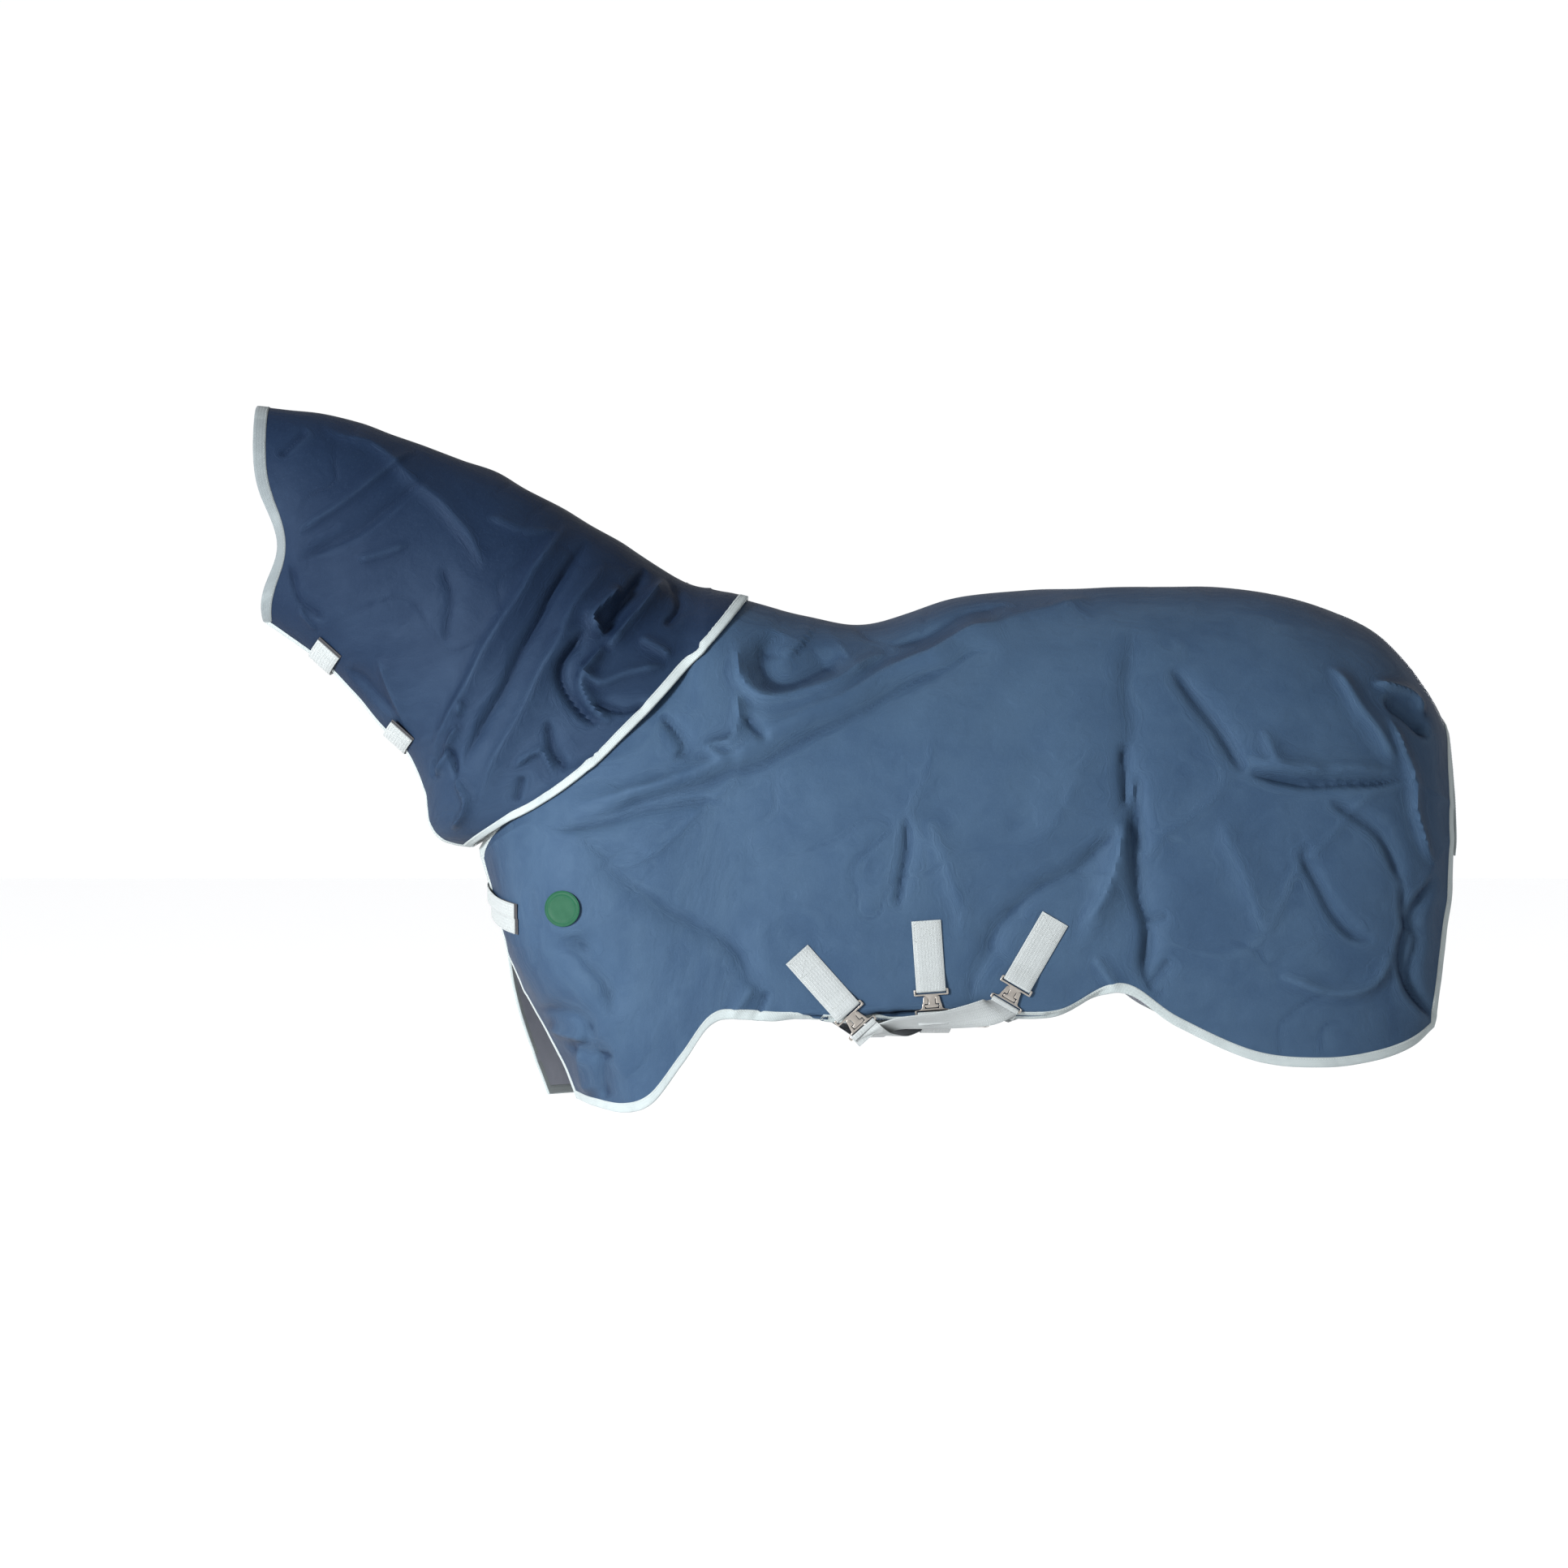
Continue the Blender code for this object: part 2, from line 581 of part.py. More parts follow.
def plate_geometry(frame):
    """A plate with a keyhole that holds the hook's head, and a webbing slot below it."""
    half = FITTING_WIDTH / 2
    neck, head, end = hook_reach()
    window = end + HOOK_CLEARANCE
    slot = window + BAR
    down = (neck + HOOK_CLEARANCE, head - HOOK_CLEARANCE, window, slot, slot + SLOT, slot + SLOT + BAR)
    mouth, inside = NECK_HALF + HOOK_CLEARANCE, HEAD_HALF + HOOK_CLEARANCE
    cross = (-half, -half + BAR, -inside, -mouth, mouth, inside, half - BAR, half)
    chosen = {(0, j) for j in range(7) if j != 3} | {(1, j) for j in (0, 1, 5, 6)}
    chosen |= {(i, j) for i in (2, 4) for j in range(7)} | {(3, 0), (3, 6)}
    return flat_fitting(frame, down, cross, chosen), down[-1]


def fitting_frame(tree, top, bottom):
    """Where a surcingle's fittings lie: their corner point, and the ways down, across and out."""
    down = Vector((bottom[0] - top[0], 0, bottom[1] - top[1])).normalized()
    cross = Vector((-down.z, 0, down.x))
    half = FITTING_WIDTH / 2
    seats = []
    for a in (0, 0.015, 0.030):
        for b in (-half, 0, half):
            x, z = bottom[0] + down.x * a + cross.x * b, bottom[1] + down.z * a + cross.z * b
            seats.append(side_seat(tree, x, z, -1))
    y = min(value for value in seats if value is not None) - METAL_SEAT
    return Vector((bottom[0], y, bottom[1])), down, cross, Vector((0, -1, 0))


def widest_seat(tree, x, z, side, half):
    """The furthest out that the cloth comes across a strap, or None below the hem."""
    seats = [side_seat(tree, x + s * half, z, side) for s in (-1, -0.5, 0, 0.5, 1)]
    known = [abs(value) for value in seats if value is not None]
    return max(known) if known else None


def belly_path(tree, start, down, far_x, layer):
    """Centre line of a belly strap, from the plate under the belly to the far side."""
    depth = -(BELLY_DEPTH * DROP / BASE_DROP + BELLY_LAYER * layer)
    hem = -HEM_CLEAR * DROP / BASE_DROP
    far_top = grade(0, 0, BELLY_TOP)[2]
    half = PATCH_SIDE / 2
    climb = [(z, widest_seat(tree, far_x, z, 1, half)) for z in spread(hem, far_top, 5)]
    far_side = max(y for z, y in climb if y is not None) + STRAP_SEAT + PATCH_SEAT
    near_side = abs(start.y)
    marks = [start, start + down * PLATE_LEAD]
    if start.z - PLATE_LEAD > hem:
        marks.append(start + down * (start.z - hem) / -down.z)
    corner = BELLY_BEND + 0.004 * layer
    rows = [(-near_side + corner * 0.3, depth + corner * 0.3), (-near_side + corner, depth)]
    rows += [(y, depth) for y in spread(-near_side + 3 * corner, far_side - 3 * corner, 5)]
    rows += [(far_side - corner, depth), (far_side - corner * 0.3, depth + corner * 0.3)]
    from_x = marks[-1].x
    for y, z in rows:
        share = (y + near_side) / (far_side + near_side)
        marks.append(Vector((from_x + (far_x - from_x) * share, y, z)))
    for z, y in climb:
        marks.append(Vector((far_x, far_side if y is None else y + STRAP_SEAT + PATCH_SEAT, z)))
    return marks


def belly_ribbon(marks, first_across):
    rows = [np.array(mark) for mark in marks]
    count = 3 * (len(rows) - 1)
    line = [smooth(rows, k * (len(rows) - 1) / count) for k in range(count + 1)]
    left, right, out = [], [], []
    for k, point in enumerate(line):
        along = line[min(k + 1, count)] - line[max(k - 1, 0)]
        normal = np.array((0, along[2], -along[1]))
        normal = np.array((0, -1.0, 0)) if np.linalg.norm(normal) < 1e-6 else -normal
        normal /= np.linalg.norm(normal)
        outward = normal if normal @ (point - (0, 0, -0.4) - (point[0], 0, 0)) > 0 else -normal
        across = np.cross(outward, along)
        if k < 3:
            across = np.array(first_across) * (1 if across @ np.array(first_across) > 0 else -1)
        across *= WEBBING_WIDTH / 2 / np.linalg.norm(across)
        left.append(tuple(point - across))
        right.append(tuple(point + across))
        out.append(tuple(outward))
    return ribbon(left, right, out, WEBBING), line


def add_surcingle(tree, index, name, top, bottom, far_x, materials):
    """A short strap on the left side, its clip and plate, and the belly strap to the right side."""
    top = grade(top[0], 0, top[1])[::2]
    bottom = grade(bottom[0], 0, bottom[1])[::2]
    far_x = grade(far_x, 0, 0)[0]
    frame = fitting_frame(tree, top, bottom)
    origin, down, cross, out = frame
    end = (bottom[0] - down.x * 0.0008, bottom[1] - down.z * 0.0008)
    path = [tuple(np.array(top) + (np.array(end) - top) * t) for t in spread(0, 1, 6)]
    end_y = abs(origin.y) + (METAL - WEBBING) / 2
    strap = side_ribbon(tree, -1, path, WEBBING_WIDTH, STRAP_SEAT, WEBBING, end_y)
    add_object(f"surcingle_strap_{name}", *strap, materials["webbing"])
    pivot = origin + down * BAR / 2 + out * METAL / 2
    add_object(f"surcingle_clip_{name}", *clip_geometry(frame), materials["nickel"], pivot)
    plate, reach = plate_geometry(frame)
    add_object(f"surcingle_plate_{name}", *plate, materials["nickel"])
    start = origin + down * (reach + 0.0006)
    marks = belly_path(tree, start, down, far_x, index)
    solid, line = belly_ribbon(marks, cross)
    add_object(f"belly_strap_{name}", *solid, materials["webbing"])
    add_patch(tree, name, far_x, materials["shell_fabric"])
    add_slide(name, line, materials["nickel"])


def add_patch(tree, name, x, material):
    """The sewn patch that a belly strap's end lies on, on the right side."""
    top = grade(0, 0, BELLY_TOP)[2]
    path = [(x, z) for z in spread(top + PATCH_SIDE / 4, top - PATCH_SIDE / 2, 4)]
    patch = side_ribbon(tree, 1, path, PATCH_SIDE, TAPE_SEAT, PATCH)
    add_object(f"belly_anchor_patch_{name}", *patch, material)


def add_slide(name, line, material):
    """The slide adjuster, a flat frame with a middle bar, under a belly strap's flat run."""
    middle = min(range(len(line)), key=lambda k: abs(line[k][1] - SLIDE_Y))
    at, ahead = Vector(line[middle]), Vector(line[middle + 1] - line[middle]).normalized()
    out = Vector((0, 0, -1))
    cross = ahead.cross(out).normalized()
    origin = at + out * (WEBBING + GAP)
    half, bar, hole = FITTING_WIDTH / 2, BAR, 2 * SLOT
    down = (0, bar, bar + hole, 2 * bar + hole, 2 * bar + 2 * hole, 3 * bar + 2 * hole)
    lines = (-half, -half + bar, half - bar, half)
    chosen = {(i, j) for i in (0, 2, 4) for j in range(3)} | {(i, j) for i in (1, 3) for j in (0, 2)}
    solid = flat_fitting((origin, ahead, cross, out), down, lines, chosen)
    add_object(f"belly_strap_slide_{name}", *solid, material)


def add_closure(tree, frame, wrap, width, names, materials):
    """A strap sewn on the right side, its touch tape on the left and its sewn end's patch."""
    angles = spread(-wrap, wrap, CLOSURE_MARKS)
    strap = wrap_ribbon(tree, *frame, angles, width, CLOSURE_SEAT, WEBBING)
    pivot = (strap[0][-4] + strap[0][-2]) / 2
    tape = wrap_ribbon(tree, *frame, angles[:TAPE_MARKS], width - TAPE_INSET, TAPE_SEAT, TAPE)
    anchor = wrap_ribbon(tree, *frame, angles[-TAPE_MARKS:], width - TAPE_INSET, TAPE_SEAT, TAPE)
    add_object(names[0], *strap, materials["webbing"], pivot)
    add_object(names[1], *tape, materials["touch_tape"])
    add_object(names[2], *anchor, materials["shell_fabric"])


def add_chest_closures(tree, materials):
    for name, height in CHEST_CLOSURES:
        frame = (grade(CHEST_CENTRE, 0, height), (-1, 0, 0), (0, 1, 0), (0, 0, 1))
        names = (f"chest_strap_{name}", f"chest_tape_{name}", f"chest_strap_anchor_{name}")
        add_closure(tree, frame, CHEST_WRAP, CLOSURE_WIDTH, names, materials)


def add_neck_closures(tree, materials):
    along = (math.cos(THROAT_SLOPE), 0, -math.sin(THROAT_SLOPE))
    ahead = (-math.sin(THROAT_SLOPE), 0, -math.cos(THROAT_SLOPE))
    for name, (x, z) in NECK_CLOSURES:
        throat = grade_neck(x, z, -x / BASE_NECK_LENGTH)
        frame = (Vector(throat) - Vector(ahead) * THROAT_INSET, ahead, (0, 1, 0), along)
        names = (f"neck_strap_{name}", f"neck_strap_tape_{name}", f"neck_strap_anchor_{name}")
        add_closure(tree, frame, NECK_WRAP, WEBBING_WIDTH, names, materials)


def add_withers_tabs(tree, materials):
    """Touch tape under the neck cover's rear hem that holds it to the body of the rug."""
    frame = ((TAB_X, 0, -TAB_DEPTH * DROP / BASE_DROP), (0, 0, 1), (0, 1, 0), (1, 0, 0))
    for side, hand in ((-1, "left"), (1, "right")):
        angles = spread(side * TAB_START, side * TAB_END, 4)
        loop = wrap_ribbon(tree, *frame, angles, TAB_WIDTH, TAPE_SEAT, TAPE)
        hook = wrap_ribbon(tree, *frame, angles, TAB_WIDTH, TAPE_SEAT + TAPE + GAP, TAPE)
        add_object(f"withers_loop_tape_{hand}", *loop, materials["touch_tape"])
        add_object(f"withers_hook_tape_{hand}", *hook, materials["touch_tape"])


def tail_surface():
    """The flap hangs from the arch of the rear edge at the dock."""
    rows = rib_rows()
    last = len(RIBS) - 1
    dock = body_point(rows, last, 0)
    wide = rows[last][4:7]

    def surface(u, v):
        y = TAIL_FLAP_HALF * HALF_WIDTH / BASE_WIDTH * (2 * u - 1) * (1 + 0.25 * v)
        arch = (dock[2] - wide[2]) * (1 - math.sqrt(1 - min(abs(y) / wide[1], 0.9) ** 2)) * (1 - v)
        out = 0.012 * math.sin(math.pi * v * 0.6) - 0.10 * y * y / wide[1]
        x = dock[0] + 0.0042 + SHELL + out
        return np.array((x, y, dock[2] - 0.0005 - arch - TAIL_FLAP_LENGTH * v))

    return surface


def add_tail_flap(materials):
    surface = tail_surface()
    columns, rows = 8, 7
    width = TAIL_FLAP_HALF * 2 * 1.1
    trim = BINDING_WIDTH * 0.75
    marks_u = edge_lines(columns, trim / width, trim / width)
    marks_v = edge_lines(rows, 0, trim / TAIL_FLAP_LENGTH)
    points = [[surface(u, v) for v in marks_v] for u in marks_u]
    last_u, last_v = len(marks_u) - 2, len(marks_v) - 2
    cells = [(i, j) for i in range(last_u + 1) for j in range(last_v + 1)]
    edge = [c for c in cells if c[0] in (0, last_u) or c[1] == last_v]
    gap = [c for c in cells if c[0] in (1, last_u - 1) or c[1] == last_v - 1]
    panel = [c for c in cells if c not in edge and c not in gap]
    pivot = Vector(surface(0.5, 0)) - Vector((SHELL, 0, 0))
    add_object("tail_flap", *tail_slab(points, panel, 0, SHELL), materials["shell_fabric"], pivot)
    trim_slab = tail_slab(points, edge, BINDING_PROUD, SHELL)
    add_object("tail_flap_binding", *trim_slab, materials["binding_fabric"], pivot)


def tail_slab(points, chosen, out, depth):
    """A closed slab of the tail flap's cells, whose thickness runs along X."""
    return closed_cells(set(chosen), lambda i, j, low: points[i][j] + (-depth if low else out, 0, 0))


def main():
    clear_scene()
    materials = make_materials()
    body = body_sheet()
    names = ("{}_side_panel", "{}_side_lining", "{}_edge_binding")
    body_outer = add_layers(body, body_cells(body), names, materials)
    body_tree = tree_of(body_outer)
    neck = neck_sheet(body_tree)
    names = ("neck_cover_{}_panel", "neck_cover_{}_lining", "neck_cover_{}_binding")
    neck_outer = add_layers(neck, neck_cells(neck), names, materials)
    neck_tree = tree_of(neck_outer)
    add_badge(body_tree, materials["badge_rubber"])
    for index, (name, top, bottom, far_x) in enumerate(SURCINGLES):
        add_surcingle(body_tree, index, name, top, bottom, far_x, materials)
    add_chest_closures(body_tree, materials)
    add_neck_closures(neck_tree, materials)
    add_withers_tabs(body_tree, materials)
    add_tail_flap(materials)


main()
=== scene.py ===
# Turnout rug with a neck cover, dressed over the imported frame.
# +X runs towards the tail, +Z up, and the rug's left side is at -Y. Sizes are in metres.
import math

import bmesh
import bpy
import numpy as np
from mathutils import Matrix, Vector
from mathutils.bvhtree import BVHTree


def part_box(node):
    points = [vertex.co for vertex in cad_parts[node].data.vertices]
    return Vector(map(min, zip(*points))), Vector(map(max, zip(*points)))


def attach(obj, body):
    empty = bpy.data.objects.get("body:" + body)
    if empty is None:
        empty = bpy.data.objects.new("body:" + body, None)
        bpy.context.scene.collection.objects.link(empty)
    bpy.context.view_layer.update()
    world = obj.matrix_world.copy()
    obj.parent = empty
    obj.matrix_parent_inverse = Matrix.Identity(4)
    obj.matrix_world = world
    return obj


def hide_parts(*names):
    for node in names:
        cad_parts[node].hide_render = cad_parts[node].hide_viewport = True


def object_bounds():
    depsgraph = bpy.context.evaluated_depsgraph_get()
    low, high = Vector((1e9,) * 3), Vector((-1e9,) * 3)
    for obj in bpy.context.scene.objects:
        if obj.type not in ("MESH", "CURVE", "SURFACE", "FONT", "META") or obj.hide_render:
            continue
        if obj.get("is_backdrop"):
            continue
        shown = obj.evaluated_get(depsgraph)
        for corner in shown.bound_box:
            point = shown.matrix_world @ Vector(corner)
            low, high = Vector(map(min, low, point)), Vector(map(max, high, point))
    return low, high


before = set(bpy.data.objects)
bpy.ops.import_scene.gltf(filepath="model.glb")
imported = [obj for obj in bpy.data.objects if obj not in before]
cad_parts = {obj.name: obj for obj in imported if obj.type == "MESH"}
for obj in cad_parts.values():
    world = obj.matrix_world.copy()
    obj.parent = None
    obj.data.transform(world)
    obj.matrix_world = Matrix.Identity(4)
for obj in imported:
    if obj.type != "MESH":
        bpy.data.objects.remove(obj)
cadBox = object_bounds()
print("frame loaded")


# ---- camera, floor and studio light

studio = {
    "cameraPlace": (0.0783, -7.0, -0.3176),
    "lens": 90,
    "floorHeight": -1.573,
    "floorSide": 90,
    "floorColour": (0.97, 0.97, 0.97),
    "worldColour": (0.985, 0.99, 1.0),
    "worldStrength": 1.02,
    # place, aim, side, watts
    "lamps": {
        "keyLamp": ((-5.8, -5.6, 1.0), (0.1, 0, -0.35), 1.8, 2700),
        "fillLamp": ((4.6, -5.6, 0.2), (0.3, 0, -0.35), 3.0, 120),
        "backLamp": ((2.4, 6.8, -0.35), (0.1, 0, -0.35), 2.4, 500),
    },
}


def aimed(obj, place, aim):
    obj.location = place
    obj.rotation_euler = (Vector(aim) - Vector(place)).to_track_quat("-Z", "Y").to_euler()
    bpy.context.scene.collection.objects.link(obj)


def buildStudio():
    cameraData = bpy.data.cameras.new("studioCamera")
    cameraData.lens = studio["lens"]
    camera = bpy.data.objects.new("studioCamera", cameraData)
    camera.location = studio["cameraPlace"]
    camera.rotation_euler = (math.radians(90), 0, 0)
    bpy.context.scene.collection.objects.link(camera)
    bpy.context.scene.camera = camera
    for name, (place, aim, side, watts) in studio["lamps"].items():
        lamp = bpy.data.lights.new(name, "AREA")
        lamp.shape, lamp.size, lamp.energy = "SQUARE", side, watts
        aimed(bpy.data.objects.new(name, lamp), place, aim)
    world = bpy.data.worlds.new("softStudio")
    world.use_nodes = True
    sky = world.node_tree.nodes["Background"]
    sky.inputs["Color"].default_value = (*studio["worldColour"], 1)
    sky.inputs["Strength"].default_value = studio["worldStrength"]
    bpy.context.scene.world = world
    bpy.context.scene.view_settings.view_transform = "Standard"
    half, height = studio["floorSide"] / 2, studio["floorHeight"]
    floorMesh = bpy.data.meshes.new("studioFloor")
    corners = [(-half, -half, height), (half, -half, height), (half, half, height), (-half, half, height)]
    floorMesh.from_pydata(corners, [], [(0, 1, 2, 3)])
    floorBoard = Board("floorPaint", roughness=0.9)
    floorBoard.paint(studio["floorColour"])
    floorMesh.materials.append(floorBoard.material)
    floor = bpy.data.objects.new("studioFloor", floorMesh)
    bpy.context.scene.collection.objects.link(floor)
    floor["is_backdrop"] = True


# ---- shader building: sockets that take part in sums, and one method for any other node


class Wire:
    def __init__(self, board, socket):
        self.board, self.socket = board, socket

    def sum(self, operation, first, second=0.0):
        return self.board.node("ShaderNodeMath", {"operation": operation}, {0: first, 1: second})

    def __add__(self, other):
        return self.sum("ADD", self, other)

    def __radd__(self, other):
        return self.sum("ADD", other, self)

    def __sub__(self, other):
        return self.sum("SUBTRACT", self, other)

    def __rsub__(self, other):
        return self.sum("SUBTRACT", other, self)

    def __mul__(self, other):
        return self.sum("MULTIPLY", self, other)

    def __rmul__(self, other):
        return self.sum("MULTIPLY", other, self)

    def __truediv__(self, other):
        return self.sum("DIVIDE", self, other)

    def __rtruediv__(self, other):
        return self.sum("DIVIDE", other, self)

    def __abs__(self):
        return self.sum("ABSOLUTE", self)

    def sine(self):
        return self.sum("SINE", self)

    def between(self, low, high):
        # 0 below low, 1 above high, smooth between
        settings = {"interpolation_type": "SMOOTHSTEP"}
        return self.board.node("ShaderNodeMapRange", settings, {"Value": self, "From Min": low, "From Max": high})


class Board:
    def __init__(self, name, **constants):
        self.material = bpy.data.materials.new(name)
        self.material.use_nodes = True
        self.tree = self.material.node_tree
        self.shader = self.tree.nodes["Principled BSDF"]
        for socket, value in constants.items():
            self.shader.inputs[socketNames[socket]].default_value = value

    def feed(self, socket, value):
        if isinstance(value, Wire):
            self.tree.links.new(value.socket, socket)
        elif isinstance(value, tuple) and len(value) == 3 and len(socket.default_value) == 4:
            socket.default_value = (*value, 1)
        else:
            socket.default_value = value

    def node(self, kind, settings=None, inputs=None, output=0):
        made = self.tree.nodes.new(kind)
        for name, value in (settings or {}).items():
            if name == "stops":
                self.setStops(made.color_ramp, value)
            else:
                setattr(made, name, value)
        for name, value in (inputs or {}).items():
            self.feed(made.inputs[name], value)
        return Wire(self, made.outputs[output])

    def setStops(self, ramp, stops):
        while len(ramp.elements) < len(stops):
            ramp.elements.new(0.5)
        for element, (place, shade) in zip(ramp.elements, stops):
            element.position, element.color = place, (*shade, 1)

    def mixed(self, first, second, share):
        inputs = {"Factor": share, 6: first, 7: second}
        return self.node("ShaderNodeMix", {"data_type": "RGBA"}, inputs, 2)

    def clothPlace(self):
        # metres along and down the cloth, stored on each piece
        return self.node("ShaderNodeAttribute", {"attribute_name": "clothPlace"}, None, "Vector")

    def parts(self, vector):
        split = self.tree.nodes.new("ShaderNodeSeparateXYZ")
        self.feed(split.inputs[0], vector)
        return [Wire(self, out) for out in split.outputs]

    def noise(self, vector, scale, detail=2.0, rough=0.5):
        inputs = {"Vector": vector, "Scale": scale, "Detail": detail, "Roughness": rough}
        return self.node("ShaderNodeTexNoise", None, inputs, "Fac")

    def paint(self, colour=None, rough=None, height=None, depth=0.0, strength=1.0):
        if colour is not None:
            self.feed(self.shader.inputs["Base Color"], colour)
        if rough is not None:
            self.feed(self.shader.inputs["Roughness"], rough)
        if height is not None:
            inputs = {"Height": height, "Distance": depth, "Strength": strength}
            bump = self.node("ShaderNodeBump", None, inputs)
            self.feed(self.shader.inputs["Normal"], bump)


socketNames = {
    "roughness": "Roughness",
    "metallic": "Metallic",
    "sheen": "Sheen Weight",
    "sheenRough": "Sheen Roughness",
    "sheenTint": "Sheen Tint",
    "specular": "Specular IOR Level",
    "specularTint": "Specular Tint",
    "coat": "Coat Weight",
    "coatRough": "Coat Roughness",
}

finishes = {
    # the colour that painted shade and random mottle deepen the shell towards
    "shellDeep": (0.0034, 0.0080, 0.0195),
    "shellMain": (0.0108, 0.0222, 0.0425),
    "shellFaded": (0.0150, 0.0288, 0.0505),
    "shellFleck": (0.027, 0.043, 0.068),
    "shellGap": (0.005, 0.010, 0.021),
    "bodyDye": (1.20, 1.15, 1.10),
    "neckColourScale": (0.62, 0.62, 0.66),  # the neck cover's colours are scaled darker than the body's
    "weavePitch": 0.00155,
    "liningMain": (0.16, 0.17, 0.20),
    "liningShade": (0.125, 0.135, 0.165),
    "bindingLight": (0.150, 0.172, 0.175),
    "bindingShade": (0.105, 0.122, 0.126),
    "bindingPitch": 0.0022,
    "pollBinding": (0.052, 0.062, 0.067),
    "webbingLight": (0.158, 0.172, 0.174),
    "webbingShade": (0.102, 0.112, 0.115),
    "webbingPitch": 0.0028,
    "tapeColour": (0.012, 0.012, 0.014),
    "nickelLight": (0.215, 0.200, 0.182),
    "nickelShade": (0.110, 0.100, 0.090),
    "badgeGreen": (0.0008, 0.026, 0.0115),
    "badgeDark": (0.0006, 0.019, 0.0085),
    "threadPale": (0.22, 0.235, 0.232),
}


def shellMaterial(name, dye):
    board = Board(name, specular=0.07, specularTint=(0.5, 0.7, 1.0, 1))
    shadeMottleColour, mainDye, fadedDye, fleck, gap = (
        tuple(c * share for c, share in zip(finishes[key], dye))
        for key in ("shellDeep", "shellMain", "shellFaded", "shellFleck", "shellGap"))
    cloth = board.clothPlace()
    along, down, tone = board.parts(cloth)
    turns = 2 * math.pi / finishes["weavePitch"]
    weave = (along * turns).sine() * (down * turns).sine()
    slub = board.noise(cloth, 900, 1.0)
    thread = board.noise(cloth, 260, 3.0, 0.6)
    cloud = board.noise(cloth, 4.2, 3.0, 0.55)
    patchy = board.noise(cloth, 17, 4.0, 0.6)
    # the third stored number is how much painted shade lies there, from 0 to 1 (on the body it also darkens towards the
    # hem); random mottle is added to it
    deep = (tone + (cloud - 0.5) * 0.30 + (patchy - 0.5) * 0.10).between(0.0, 1.0)
    body = board.mixed(fadedDye, mainDye, (cloud * 0.9 + patchy * 0.4).between(0.35, 0.95))
    body = board.mixed(body, shadeMottleColour, deep)
    flecks = board.mixed(body, fleck, (thread * 1.0).between(0.52, 0.80) * 0.22)
    colour = board.mixed(flecks, gap, (weave * 0.5 + 0.5) * 0.16 + (slub - 0.4) * 0.10)
    rough = 0.56 + (patchy - 0.5) * 0.14 + (thread - 0.5) * 0.16
    crumple = board.noise(cloth, 30, 5.0, 0.62)
    # thin creases that run where two slow noises cross their middle
    crease = (1 - abs(board.noise(cloth, 7.5, 3.0, 0.55) - 0.5) * 16).between(0.0, 1.0)
    finer = (1 - abs(board.noise(cloth, 19, 2.0, 0.5) - 0.5) * 11).between(0.0, 1.0)
    height = weave * 0.03 + thread * 0.05 + crumple * 0.55 + crease * 0.10 - finer * 0.04
    board.paint(colour, rough, height, 0.0030, 0.6)
    return board.material


def liningMaterial():
    board = Board("liningNylon", sheen=0.05, sheenRough=0.4, specular=0.25)
    cloth = board.clothPlace()
    along, down, _ = board.parts(cloth)
    turns = 2 * math.pi / 0.0012
    weave = (along * turns).sine() * (down * turns).sine()
    cloud = board.noise(cloth, 9, 4.0, 0.6)
    creases = board.noise(cloth, 55, 5.0, 0.6)
    colour = board.mixed(finishes["liningMain"], finishes["liningShade"], cloud.between(0.3, 0.8) + weave * 0.08)
    board.paint(colour, 0.46 + cloud * 0.16, weave * 0.06 + creases, 0.0012, 0.5)
    return board.material


def bindingMaterial(name, light, shade):
    board = Board(name, sheen=0.05, sheenRough=0.5, specular=0.2)
    cloth = board.clothPlace()
    along, down, _ = board.parts(cloth)
    ribs = (along * (2 * math.pi / finishes["bindingPitch"])).sine()
    rows = (down * (2 * math.pi / 0.0016)).sine()
    soil = board.noise(cloth, 22, 4.0, 0.62)
    fluff = board.noise(cloth, 700, 2.0)
    colour = board.mixed(light, shade, soil.between(0.42, 0.92) * 0.75 + (1 - ribs) * 0.10 + (fluff - 0.5) * 0.2)
    board.paint(colour, 0.66 + soil * 0.16, ribs * 0.22 + rows * 0.10 + soil * 0.6, 0.0009, 0.7)
    return board.material


def webbingMaterial():
    board = Board("webbingPolypropylene", sheen=0.06, sheenRough=0.4, specular=0.25)
    cloth = board.clothPlace()
    across, along, _ = board.parts(cloth)
    pitch = finishes["webbingPitch"]
    # twill that turns back on itself every few threads across the band
    zigzag = abs((across * (math.pi / 0.0055)).sine()) * 0.0040
    twill = ((along + zigzag) * (2 * math.pi / pitch)).sine()
    cords = (across * (2 * math.pi / 0.0019)).sine()
    soil = board.noise(cloth, 30, 4.0, 0.6)
    colour = board.mixed(finishes["webbingLight"], finishes["webbingShade"],
                         (0.5 - twill * 0.5) * 0.30 + (0.5 - cords * 0.5) * 0.12 + soil.between(0.5, 0.95) * 0.4)
    board.paint(colour, 0.52 + soil * 0.18, twill * 0.30 + cords * 0.14 + soil * 0.3, 0.0009, 0.8)
    return board.material


def touchTapeMaterial():
    board = Board("touchTape", sheen=0.06, sheenRough=0.6, specular=0.12)
    place = board.node("ShaderNodeTexCoord", None, None, "Object")
    hooks = board.noise(place, 1500, 2.0, 0.7)
    pile = board.noise(place, 260, 3.0, 0.6)
    colour = board.mixed(finishes["tapeColour"], (0.055, 0.055, 0.062), hooks.between(0.5, 0.75) * 0.6)
    board.paint(colour, 0.86 + pile * 0.1, hooks * 0.5 + pile, 0.0010, 0.9)
    return board.material


